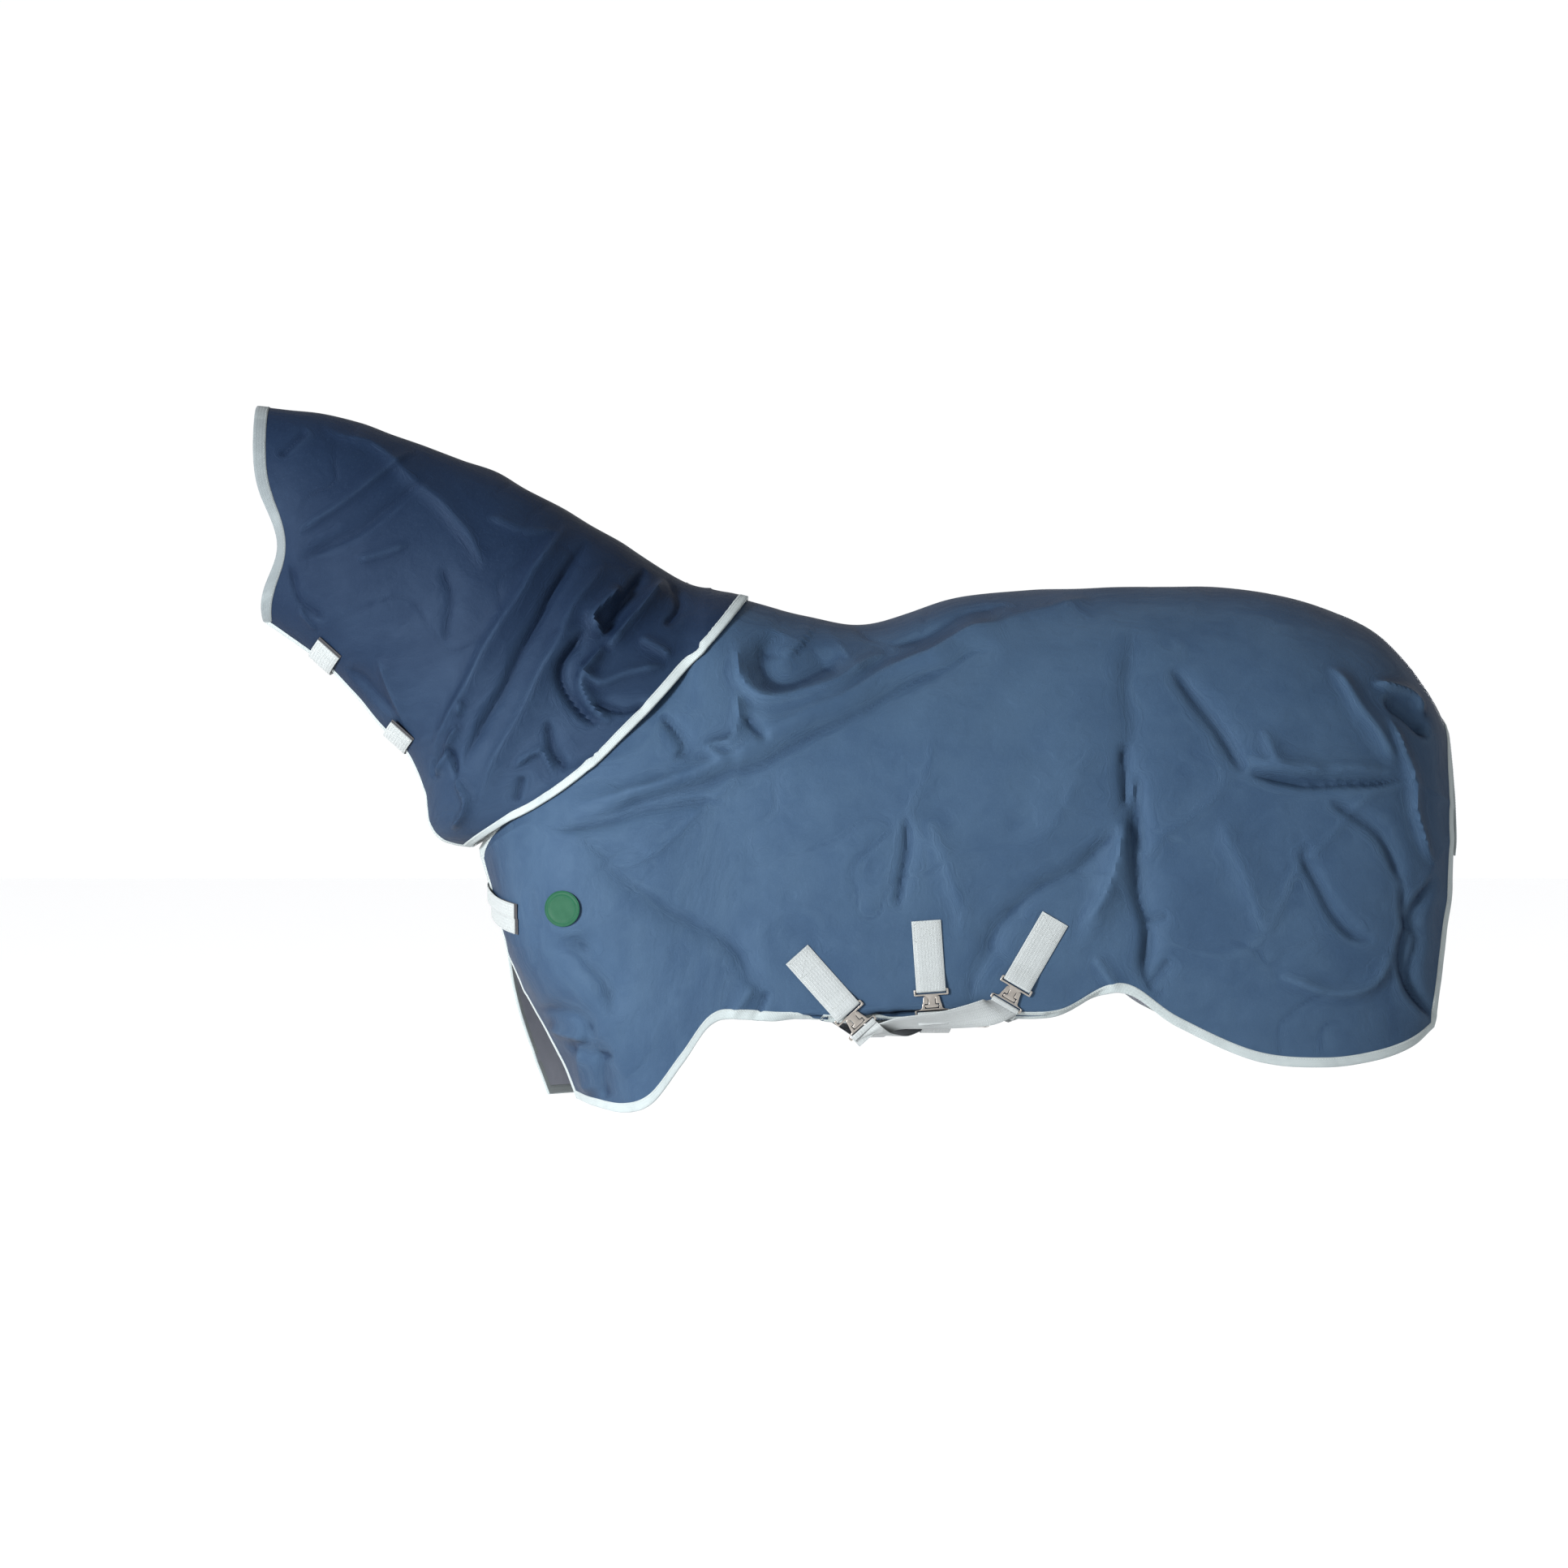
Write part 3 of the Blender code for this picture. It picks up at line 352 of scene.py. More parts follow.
def nickelMaterial():
    board = Board("brushedNickel", metallic=1.0, specular=0.5)
    place = board.node("ShaderNodeTexCoord", None, None, "Object")
    stretched = board.node("ShaderNodeVectorMath", {"operation": "MULTIPLY"}, {0: place, 1: (1, 1, 9)})
    brush = board.noise(stretched, 420, 3.0, 0.6)
    smudge = board.noise(place, 60, 4.0, 0.6)
    colour = board.mixed(finishes["nickelLight"], finishes["nickelShade"], smudge.between(0.4, 0.85) * 0.6)
    board.paint(colour, 0.20 + smudge * 0.20 + brush * 0.08, brush * 0.5 + smudge, 0.00025, 0.5)
    return board.material


def badgeMaterial():
    board = Board("badgeRubber", specular=0.06)
    place = board.node("ShaderNodeTexCoord", None, None, "Object")
    grain = board.noise(place, 1100, 2.0, 0.6)
    cloud = board.noise(place, 70, 3.0, 0.5)
    colour = board.mixed(finishes["badgeGreen"], finishes["badgeDark"], cloud.between(0.35, 0.9) * 0.45)
    board.paint(colour, 0.42 + cloud * 0.16, grain, 0.00018, 0.6)
    return board.material


def threadMaterial(name, colour):
    board = Board(name, sheen=0.2, specular=0.35)
    place = board.node("ShaderNodeTexCoord", None, None, "Object")
    ply = board.noise(place, 1800, 2.0)
    shade = tuple(c * 0.7 for c in colour)
    board.paint(board.mixed(colour, shade, ply.between(0.35, 0.75)), 0.5 + ply * 0.2, ply, 0.0002, 0.5)
    return board.material


buildStudio()
print("studio set")
shell = shellMaterial("shellPolyester", finishes["bodyDye"])
neckShell = shellMaterial("neckPolyester", finishes["neckColourScale"])
lining = liningMaterial()
binding = bindingMaterial("bindingTape", finishes["bindingLight"], finishes["bindingShade"])
pollTape = bindingMaterial("pollBindingTape", finishes["pollBinding"], finishes["bindingShade"])
webbing = webbingMaterial()
touchTape = touchTapeMaterial()
nickel = nickelMaterial()
badgeRubber = badgeMaterial()
paleThread = threadMaterial("paleThread", finishes["threadPale"])
print("materials made")


# ---- the rug's form: ribs of a side panel and sections of the neck cover, as drafted

form = {
    "quarter": 0.6,  # share of a rib from its start to its widest point
    "spineRib": 6,
    "throatShare": 0.955,
    "cheekNotch": 0.040,
    "hemBow": 0.036,
    "throatReach": 0.026,
    "shellThickness": 0.0016,
    "liningThickness": 0.0010,
    "liningGap": 0.0007,
}

# start (neckline or spine), start angle, widest point, hem
ribs = (
    ((-0.462, 0.018, -0.432), 20, (-0.428, 0.030, -0.560), (-0.339, 0.050, -0.875)),
    ((-0.430, 0.100, -0.392), 35, (-0.392, 0.165, -0.600), (-0.290, 0.165, -0.880)),
    ((-0.355, 0.172, -0.318), 45, (-0.325, 0.248, -0.585), (-0.213, 0.245, -0.884)),
    ((-0.275, 0.196, -0.238), 45, (-0.245, 0.283, -0.560), (-0.150, 0.285, -0.864)),
    ((-0.180, 0.165, -0.140), 35, (-0.160, 0.298, -0.520), (-0.095, 0.304, -0.795)),
    ((-0.108, 0.090, -0.045), 15, (-0.070, 0.300, -0.480), (-0.045, 0.312, -0.727)),
    ((-0.060, 0.000, 0.024), 0, (0.000, 0.302, -0.455), (0.010, 0.317, -0.718)),
    ((0.110, 0.000, -0.014), 0, (0.130, 0.315, -0.430), (0.130, 0.328, -0.728)),
    ((0.226, 0.000, -0.030), 0, (0.250, 0.325, -0.420), (0.260, 0.334, -0.733)),
    ((0.374, 0.000, 0.010), 0, (0.390, 0.325, -0.410), (0.400, 0.334, -0.722)),
    ((0.537, 0.000, 0.028), 0, (0.540, 0.322, -0.400), (0.540, 0.332, -0.721)),
    ((0.700, 0.000, 0.037), 0, (0.675, 0.318, -0.410), (0.650, 0.328, -0.672)),
    ((0.841, 0.000, 0.033), 0, (0.800, 0.318, -0.420), (0.748, 0.326, -0.730)),
    ((0.960, 0.000, 0.020), 0, (0.920, 0.316, -0.440), (0.880, 0.324, -0.788)),
    ((1.060, 0.000, -0.013), 0, (1.030, 0.306, -0.460), (1.000, 0.314, -0.800)),
    ((1.141, 0.000, -0.054), 0, (1.120, 0.282, -0.480), (1.095, 0.292, -0.789)),
    ((1.210, 0.000, -0.132), 0, (1.190, 0.245, -0.500), (1.160, 0.260, -0.768)),
    ((1.250, 0.000, -0.207), 0, (1.240, 0.190, -0.520), (1.202, 0.222, -0.738)),
)

# crest x, z, throat x, z, half width, from the poll to the rear hem
sections = (
    (-0.861, 0.355, -0.850, -0.030, 0.095),
    (-0.757, 0.344, -0.790, -0.070, 0.110),
    (-0.655, 0.319, -0.724, -0.122, 0.120),
    (-0.538, 0.277, -0.642, -0.216, 0.134),
    (-0.423, 0.231, -0.592, -0.268, 0.152),
    (-0.316, 0.174, -0.563, -0.335, 0.172),
    (-0.215, 0.117, -0.548, -0.392, 0.192),
    (-0.131, 0.058, -0.520, -0.418, 0.208),
    (-0.062, 0.032, -0.488, -0.428, 0.220),
    (0.002, 0.006, -0.456, -0.432, 0.232),
)


def smoothstep(x, low, high):
    t = np.clip((x - low) / (high - low), 0, 1)
    return t * t * (3 - 2 * t)


def throughRows(rows, t):
    # smooth curve through rows of numbers that stand at whole values of t
    rows = np.asarray(rows, float)
    padded = np.vstack([2 * rows[0] - rows[1], rows, 2 * rows[-1] - rows[-2]])
    k = np.clip(np.floor(t).astype(int), 0, len(rows) - 2)
    f = (t - k)[:, None]
    p0, p1, p2, p3 = (padded[k + n] for n in range(4))
    bend = (2 * p0 - 5 * p1 + 4 * p2 - p3) * f**2 + (3 * p1 - p0 - 3 * p2 + p3) * f**3
    return 0.5 * (2 * p1 + (p2 - p0) * f + bend)


def bodySurface(u, v):
    rows = [(*start, math.radians(angle), *wide, *hem) for start, angle, wide, hem in ribs]
    row = throughRows(rows, u)[:, None, :]
    start, angle = row[..., 0:3].copy(), np.maximum(row[..., 3:4], 0)
    start[..., 1] = np.maximum(start[..., 1], 0)
    wide, hem = row[..., 4:7], row[..., 7:10]
    v = v[None, :, None]
    turn = angle + (math.pi / 2 - angle) * np.minimum(v / form["quarter"], 1)
    across = (np.sin(turn) - np.sin(angle)) / (1 - np.sin(angle))
    down = 1 - np.cos(turn) / np.cos(angle)
    upper = start + (wide - start) * np.concatenate([down, across, down], 2)
    t = np.clip((v - form["quarter"]) / (1 - form["quarter"]), 0, 1) + angle * 0
    lower = wide + (hem - wide) * np.concatenate([t, t * t * (3 - 2 * t), t], 2)
    return np.where(v < form["quarter"], upper, lower)


def neckSurface(u, v):
    crestX, crestZ, throatX, throatZ, half = (c[:, None] for c in throughRows(sections, u).T)
    turn = math.pi * v[None, :] * form["throatShare"]
    down = (1 - np.cos(turn)) / 2
    bite = np.exp(-(((v[None, :] - 0.62) / 0.14) ** 2)) * np.maximum(0, 1 - u)[:, None]
    x = crestX + (throatX - crestX) * down + form["cheekNotch"] * bite
    z = crestZ + (throatZ - crestZ) * down
    # the rear hem bows out over the shoulder, and reaches forwards at the throat
    rear = smoothstep(u, 4.5, 9.0)[:, None]
    bow = form["hemBow"] * rear * np.sin(math.pi * down)
    x = x + 0.69 * bow - form["throatReach"] * rear * smoothstep(down, 0.55, 1.0)
    return np.stack([x, half * np.sin(turn), z - 0.72 * bow], 2)


def evenMarks(surface, last, count, v):
    # marks along u that stand evenly spaced on the line at v
    fine = np.linspace(0, last, 600)
    line = surface(fine, np.array([v]))[:, 0]
    gone = np.concatenate([[0], np.cumsum(np.linalg.norm(np.diff(line, axis=0), axis=1))])
    return np.interp(np.linspace(0, gone[-1], count), gone, fine)


def gridNormals(points):
    along, down = np.gradient(points, axis=0), np.gradient(points, axis=1)
    normal = np.cross(along, down)
    return normal / np.maximum(np.linalg.norm(normal, axis=2, keepdims=True), 1e-12)


def latticeNoise(x, y, scale, seed):
    # smooth values between -1 and 1 from a seeded lattice
    table = np.random.default_rng(seed).uniform(-1, 1, (64, 64))
    a, b = x / scale + 17.3, y / scale + 9.1
    i, j = np.floor(a).astype(int), np.floor(b).astype(int)
    s, t = a - i, b - j
    s, t = s * s * (3 - 2 * s), t * t * (3 - 2 * t)
    corner = lambda m, n: table[(i + m) % 64, (j + n) % 64]
    low = corner(0, 0) * (1 - s) + corner(1, 0) * s
    high = corner(0, 1) * (1 - s) + corner(1, 1) * s
    return low * (1 - t) + high * t


# ---- folds: height in mm, width in mm, and the line each one runs along, as x and z

bodyFolds = (
    (9, 28, ((0.459, -0.039), (0.354, -0.080), (0.125, -0.201), (-0.069, -0.302), (-0.291, -0.351))),
    (-7, 20, ((0.453, -0.076), (0.348, -0.122), (0.139, -0.232), (-0.013, -0.305), (-0.166, -0.350), (-0.305, -0.385))),
    (-4, 11, ((-0.019, -0.343), (-0.166, -0.366), (-0.319, -0.397))),
    (-11, 34, ((0.070, -0.053), (0.049, -0.108), (0.091, -0.140), (0.181, -0.087))),
    (8, 17, ((-0.006, -0.066), (0.003, -0.136), (0.056, -0.173), (0.146, -0.154), (0.257, -0.087))),
    (-4, 14, ((0.466, -0.001), (0.361, -0.034), (0.271, -0.076))),
    (4, 18, ((0.611, 0.003), (0.486, -0.025), (0.375, -0.073))),
    (6, 12, ((-0.002, -0.155), (-0.008, -0.237), (-0.052, -0.255), (-0.017, -0.287))),
    (-5, 10, ((0.010, -0.205), (0.056, -0.251))),
    (-5, 12, ((-0.135, -0.198), (-0.094, -0.247), (-0.104, -0.275))),
    (-5, 32, ((-0.283, -0.413), (-0.153, -0.506), (-0.013, -0.588), (0.026, -0.676))),
    (-4, 14, ((-0.364, -0.542), (-0.305, -0.573), (-0.256, -0.617))),
    (-6, 24, ((-0.374, -0.497), (-0.319, -0.573), (-0.235, -0.656), (-0.208, -0.726))),
    (-4, 15, ((-0.353, -0.708), (-0.284, -0.712), (-0.246, -0.759))),
    (5, 15, ((-0.335, -0.745), (-0.262, -0.762))),
    (-4, 14, ((-0.305, -0.778), (-0.212, -0.789))),
    (5, 17, ((-0.283, -0.769), (-0.260, -0.862))),
    (-4, 13, ((-0.238, -0.781), (-0.230, -0.869))),
    (3, 9, ((-0.019, -0.712), (0.028, -0.662))),
    (-3, 8, ((0.021, -0.720), (0.049, -0.667))),
    (-4, 10, ((0.288, -0.372), (0.281, -0.448), (0.271, -0.530))),
    (3, 24, ((0.320, -0.379), (0.368, -0.490), (0.382, -0.587))),
    (-4, 28, ((0.681, -0.046), (0.670, -0.170), (0.664, -0.309), (0.661, -0.402))),
    (9, 19, ((0.664, -0.379), (0.636, -0.483), (0.604, -0.545), (0.556, -0.594))),
    (-9, 17, ((0.675, -0.339), (0.688, -0.513), (0.699, -0.662))),
    (-6, 24, ((0.653, -0.393), (0.583, -0.462), (0.468, -0.531), (0.417, -0.628), (0.375, -0.691))),
    (-5, 9, ((0.658, -0.248), (0.667, -0.358))),
    (-5, 9, ((0.685, -0.302), (0.690, -0.431))),
    (-3, 8, ((0.692, -0.551), (0.729, -0.538))),
    (3, 10, ((0.611, -0.615), (0.649, -0.669))),
    (-3, 10, ((0.736, -0.615), (0.697, -0.669))),
    (-6, 16, ((0.744, -0.111), (0.785, -0.170), (0.864, -0.294))),
    (-8, 10, ((0.875, -0.295), (0.986, -0.318), (1.155, -0.309))),
    (5, 12, ((0.870, -0.272), (0.990, -0.290), (1.110, -0.286))),
    (7, 16, ((1.019, -0.121), (1.083, -0.212), (1.137, -0.284))),
    (-14, 13, ((1.119, -0.179), (1.159, -0.201), (1.194, -0.237))),
    (9, 9, ((1.105, -0.150), (1.165, -0.168), (1.195, -0.198))),
    (8, 10, ((1.115, -0.202), (1.157, -0.305), (1.168, -0.375), (1.184, -0.431), (1.202, -0.456))),
    (-4, 10, ((1.137, -0.476), (1.144, -0.544), (1.169, -0.581), (1.157, -0.662), (1.182, -0.717))),
    (-7, 12, ((1.201, -0.472), (1.153, -0.545), (1.144, -0.642), (1.202, -0.728))),
    (5, 14, ((0.921, -0.644), (1.008, -0.674), (1.089, -0.662), (1.119, -0.613))),
    (-5, 12, ((0.971, -0.420), (0.964, -0.458), (1.039, -0.563), (1.089, -0.588))),
    (4, 26, ((0.819, -0.379), (0.861, -0.462), (0.903, -0.573))),
    (-5, 12, ((1.014, -0.351), (1.097, -0.406), (1.139, -0.490))),
    (4, 12, ((0.903, -0.226), (0.930, -0.282), (1.014, -0.295))),
)

neckFolds = (
    (4, 12, ((-0.780, 0.122), (-0.690, 0.176), (-0.582, 0.272))),
    (-4, 11, ((-0.767, 0.075), (-0.670, 0.125), (-0.542, 0.225))),
    (3, 9, ((-0.677, 0.072), (-0.582, 0.098))),
    (-4, 10, ((-0.798, 0.061), (-0.781, 0.007), (-0.731, -0.030))),
    (-3, 8, ((-0.818, 0.260), (-0.790, 0.291), (-0.767, 0.309))),
    (5, 16, ((-0.741, 0.317), (-0.628, 0.260), (-0.499, 0.146), (-0.443, 0.061))),
    (9, 18, ((-0.300, 0.146), (-0.364, 0.040), (-0.428, -0.067), (-0.499, -0.181), (-0.545, -0.266))),
    (-9, 15, ((-0.269, 0.111), (-0.340, -0.017), (-0.400, -0.131), (-0.464, -0.245), (-0.482, -0.295))),
    (7, 18, ((-0.240, 0.075), (-0.300, -0.039), (-0.364, -0.167), (-0.421, -0.273), (-0.454, -0.352))),
    (-10, 14, ((-0.159, 0.061), (-0.198, 0.011), (-0.240, -0.057))),
    (11, 10, ((-0.240, -0.057), (-0.253, -0.022), (-0.208, 0.030))),
    (11, 12, ((-0.129, 0.044), (-0.158, -0.003), (-0.201, -0.046), (-0.232, -0.081))),
    (-10, 13, ((-0.269, -0.050), (-0.305, -0.106), (-0.295, -0.165), (-0.250, -0.224))),
    (10, 10, ((-0.240, -0.081), (-0.269, -0.131), (-0.260, -0.178), (-0.226, -0.221))),
    (-6, 10, ((-0.334, -0.202), (-0.320, -0.261), (-0.292, -0.292))),
    (7, 10, ((-0.283, -0.113), (-0.243, -0.141), (-0.192, -0.123), (-0.132, -0.113))),
    (-6, 10, ((-0.258, -0.181), (-0.201, -0.195), (-0.158, -0.178))),
    (-6, 8, ((-0.124, 0.044), (-0.104, 0.003), (-0.127, -0.042))),
    (4, 9, ((-0.172, -0.067), (-0.115, -0.098))),
    (6, 9, ((-0.386, -0.288), (-0.340, -0.259), (-0.314, -0.309))),
    (-5, 8, ((-0.386, -0.345), (-0.371, -0.302))),
    (10, 9, ((-0.495, -0.221), (-0.517, -0.266), (-0.536, -0.306))),
    (5, 7, ((-0.487, -0.175), (-0.491, -0.201))),
    (-8, 8, ((-0.546, -0.306), (-0.511, -0.264), (-0.497, -0.312))),
    (8, 9, ((-0.499, -0.312), (-0.482, -0.352), (-0.511, -0.394))),
    (-6, 14, ((-0.702, -0.113), (-0.653, -0.135), (-0.613, -0.195))),
    (5, 12, ((-0.630, -0.090), (-0.610, -0.153), (-0.585, -0.231))),
    (3, 7, ((-0.749, -0.046), (-0.767, -0.027), (-0.781, -0.007))),
    (-3, 14, ((-0.528, 0.061), (-0.499, 0.004), (-0.521, -0.067))),
    (3, 14, ((-0.443, 0.146), (-0.371, 0.125), (-0.314, 0.129))),
)


def foldHeights(points, folds, seed, strength=1.0):
    # each fold is a soft ridge or valley that fades at both ends, with a slightly sharp crest
    x = points[..., 0] + 0.007 * latticeNoise(points[..., 0], points[..., 2], 0.07, seed)
    z = points[..., 2] + 0.007 * latticeNoise(points[..., 0], points[..., 2], 0.07, seed + 1)
    total = np.zeros(x.shape)
    for height, width, line in folds:
        marks = throughRows(line, np.linspace(0, len(line) - 1, 4 * len(line) - 3))
        steps = np.linalg.norm(np.diff(marks, axis=0), axis=1)
        gone = np.concatenate([[0], np.cumsum(steps)])
        best, share, hand = np.full(x.shape, 1e9), np.zeros(x.shape), np.zeros(x.shape)
        for k in range(len(marks) - 1):
            ax, az = marks[k]
            bx, bz = marks[k + 1] - marks[k]
            t = np.clip(((x - ax) * bx + (z - az) * bz) / steps[k] ** 2, 0, 1)
            away = np.hypot(x - ax - bx * t, z - az - bz * t)
            closer = away < best
            best = np.where(closer, away, best)
            hand = np.where(closer, (x - ax) * bz - (z - az) * bx, hand)
            share = np.where(closer, (gone[k] + t * steps[k]) / gone[-1], share)
        w = width / 1000 * (0.75 + 0.5 * np.sin(math.pi * share))
        d = best / w * np.where(hand > 0, 1.45, 0.78)
        fade = np.minimum(1, 1.9 * np.sin(math.pi * np.clip(share, 0, 1)) ** 0.9)
        crest = 0.5 * np.exp(-d * d) + 0.5 * np.exp(-(np.sqrt(d * d + 0.03) - 0.173) * 2.1)
        total += height / 1000 * strength * fade * crest
    return total


def creaseNet(points, seed, scale, height):
    # thin raised lines that cross, as in a stiff coated cloth
    x, z = points[..., 0], points[..., 2]
    a, b = x * 0.85 + z * 0.53, z * 0.85 - x * 0.53
    a = a + 0.3 * scale * latticeNoise(x, z, scale * 0.8, seed + 3)
    b = b + 0.3 * scale * latticeNoise(x, z, scale * 0.8, seed + 4)
    field = latticeNoise(a * 0.6, b, scale, seed)
    where = smoothstep(latticeNoise(x, z, scale * 2.2, seed + 1), -0.25, 0.55)
    return height / 1000 * where * np.exp(-np.abs(field) * 7.5)


def drapeNoise(points, seed, amount):
    # wide slack, then smaller pulls that run down and forwards
    x, z = points[..., 0], points[..., 2]
    lean = x * 0.8 + z * 0.6
    cross = z * 0.8 - x * 0.6
    wide = latticeNoise(x, z, 0.17, seed) * 3.2
    pulls = latticeNoise(lean, cross, 0.085, seed + 5) * 1.3 + latticeNoise(lean * 0.45, cross, 0.042, seed + 6) * 1.0
    small = latticeNoise(x, z, 0.024, seed + 7) * 0.32 + latticeNoise(x * 0.5, z, 0.013, seed + 8) * 0.15
    net = creaseNet(points, seed + 20, 0.16, 3.0) + creaseNet(points, seed + 30, 0.075, -1.5)
    return (wide + pulls + small) * amount / 1000 + net * amount


class Cloth:
    # a grid of points with outward normals, and the ways to lay layers, trims and thread on it

    def __init__(self, points, hand, heights):
        self.hand = hand
        points = points * (1, hand, 1)
        normals = gridNormals(points)
        if hand * normals[..., 1].mean() < 0:
            normals = -normals
        self.points = points + normals * heights[..., None]
        self.points[:, 0][np.abs(points[:, 0, 1]) < 1e-6, 1] = 0
        self.refresh()

    def refresh(self):
        normals = gridNormals(self.points)
        if self.hand * normals[..., 1].mean() < 0:
            normals = -normals
        onSpine = np.abs(self.points[:, 0, 1]) < 1e-6
        normals[:, 0][onSpine, 1] = 0
        normals[:, 0] /= np.linalg.norm(normals[:, 0], axis=1, keepdims=True)
        self.normals = normals
        self.count = np.array(self.points.shape[:2])
        along = np.linalg.norm(np.diff(self.points, axis=0), axis=2)
        down = np.linalg.norm(np.diff(self.points, axis=1), axis=2)
        self.along = np.vstack([along, along[-1:]])
        self.down = np.hstack([down, down[:, -1:]])
        gone = np.concatenate([np.zeros((1, self.count[1])), np.cumsum(along, axis=0)])
        drop = np.concatenate([np.zeros((self.count[0], 1)), np.cumsum(down, axis=1)], 1)
        self.place = np.stack([np.repeat(gone.mean(axis=1)[:, None], self.count[1], 1), drop], 2)

    def sample(self, grid, i, j):
        i, j = np.clip(i, 0, self.count[0] - 1.001), np.clip(j, 0, self.count[1] - 1.001)
        a, b = np.floor(i).astype(int), np.floor(j).astype(int)
        s, t = (i - a)[..., None], (j - b)[..., None]
        low = grid[a, b] * (1 - s) + grid[a + 1, b] * s
        high = grid[a, b + 1] * (1 - s) + grid[a + 1, b + 1] * s
        return low * (1 - t) + high * t

    def at(self, i, j, out):
        normal = self.sample(self.normals, i, j)
        normal = normal / np.linalg.norm(normal, axis=-1, keepdims=True)
        return self.sample(self.points, i, j) + normal * np.asarray(out)[..., None]

    def tree(self, out=0.0):
        places = (self.points + self.normals * out).reshape(-1, 3)
        return BVHTree.FromPolygons([Vector(p) for p in places], gridFaces(*self.count).tolist())


def gridFaces(rows, columns):
    a = (np.arange(rows - 1)[:, None] * columns + np.arange(columns - 1)[None, :]).reshape(-1)
    return np.stack([a, a + columns, a + columns + 1, a + 1], 1)


def makePiece(name, verts, faces, material, place=None, smooth=40):
    mesh = bpy.data.meshes.new(name)
    mesh.from_pydata(np.asarray(verts).tolist(), [], [list(map(int, face)) for face in faces])
    mesh.materials.append(material)
    if place is not None:
        stored = mesh.attributes.new("clothPlace", "FLOAT_VECTOR", "POINT")
        stored.data.foreach_set("vector", np.asarray(place, np.float32).reshape(-1))
    work = bmesh.new()
    work.from_mesh(mesh)
    bmesh.ops.recalc_face_normals(work, faces=work.faces)
    if work.calc_volume(signed=True) < 0:
        bmesh.ops.reverse_faces(work, faces=work.faces)
    work.to_mesh(mesh)
    work.free()
    mesh.shade_smooth()
    mesh.set_sharp_from_angle(angle=math.radians(smooth))
    obj = bpy.data.objects.new(name, mesh)
    bpy.context.scene.collection.objects.link(obj)
    return obj


def layerPiece(name, cloth, top, bottom, material, stride=1, tone=None):
    # a closed layer of cloth between two offsets from the outer face
    rows = np.unique(np.append(np.arange(0, cloth.count[0], stride), cloth.count[0] - 1))
    columns = np.unique(np.append(np.arange(0, cloth.count[1], stride), cloth.count[1] - 1))
    pick = np.ix_(rows, columns)
    points, normals, place = cloth.points[pick], cloth.normals[pick], cloth.place[pick]
    r, c = len(rows), len(columns)
    upper = (points + normals * top).reshape(-1, 3)
    lower = (points + normals * bottom).reshape(-1, 3)
    depth = np.zeros((r, c, 1)) if tone is None else tone[pick][..., None]
    place = np.concatenate([place, depth], 2).reshape(-1, 3)
    faces = gridFaces(r, c)
    rim = np.concatenate([
        np.arange(c), np.arange(1, r) * c + c - 1,
        (r - 1) * c + np.arange(c - 2, -1, -1), np.arange(r - 2, 0, -1) * c,
    ])
    after = np.roll(rim, -1)
    walls = np.stack([rim, after, after + r * c, rim + r * c], 1)
    allFaces = np.concatenate([faces, faces[:, ::-1] + r * c, walls])
    return makePiece(name, np.concatenate([upper, lower]), allFaces, material, np.concatenate([place, place]))


# cross-section of a folded edge tape: distance in from the cloth's edge, height over its outer face
def tapeSection(width, proud, under):
    return (
        (width, 0.00015), (width - 0.0004, proud * 0.75), (width - 0.0016, proud), (width * 0.55, proud * 1.15),
        (width * 0.2, proud * 1.1), (0.0, proud * 0.95), (-0.0011, proud * 0.2), (-0.0017, -under * 0.35),
        (-0.0015, -under * 0.75), (-0.0006, -under - proud * 0.6), (width * 0.2, -under - proud),
        (width * 0.6, -under - proud), (width - 0.001, -under - proud * 0.9), (width, -under - 0.0001),
        (width * 0.5, -under - 0.00005), (0.0006, -under), (-0.0004, -under * 0.5), (0.0006, 0.0001), (width * 0.5, 0.0001),
    )


def sweptRing(sectionPoints, closed=False):
    # faces of a tube whose rings of points follow each other
    rings, size = sectionPoints.shape[:2]
    ring = np.arange(rings if closed else rings - 1)
    k = np.arange(size)
    a = ring[:, None] * size + k[None, :]
    b = ring[:, None] * size + (k[None, :] + 1) % size
    nextRing = (ring + 1) % rings
    c = nextRing[:, None] * size + (k[None, :] + 1) % size
    d = nextRing[:, None] * size + k[None, :]
    faces = np.stack([a, b, c, d], 2).reshape(-1, 4).tolist()
    if not closed:
        faces += [list(range(size)), list(range((rings - 1) * size, rings * size))[::-1]]
    return faces


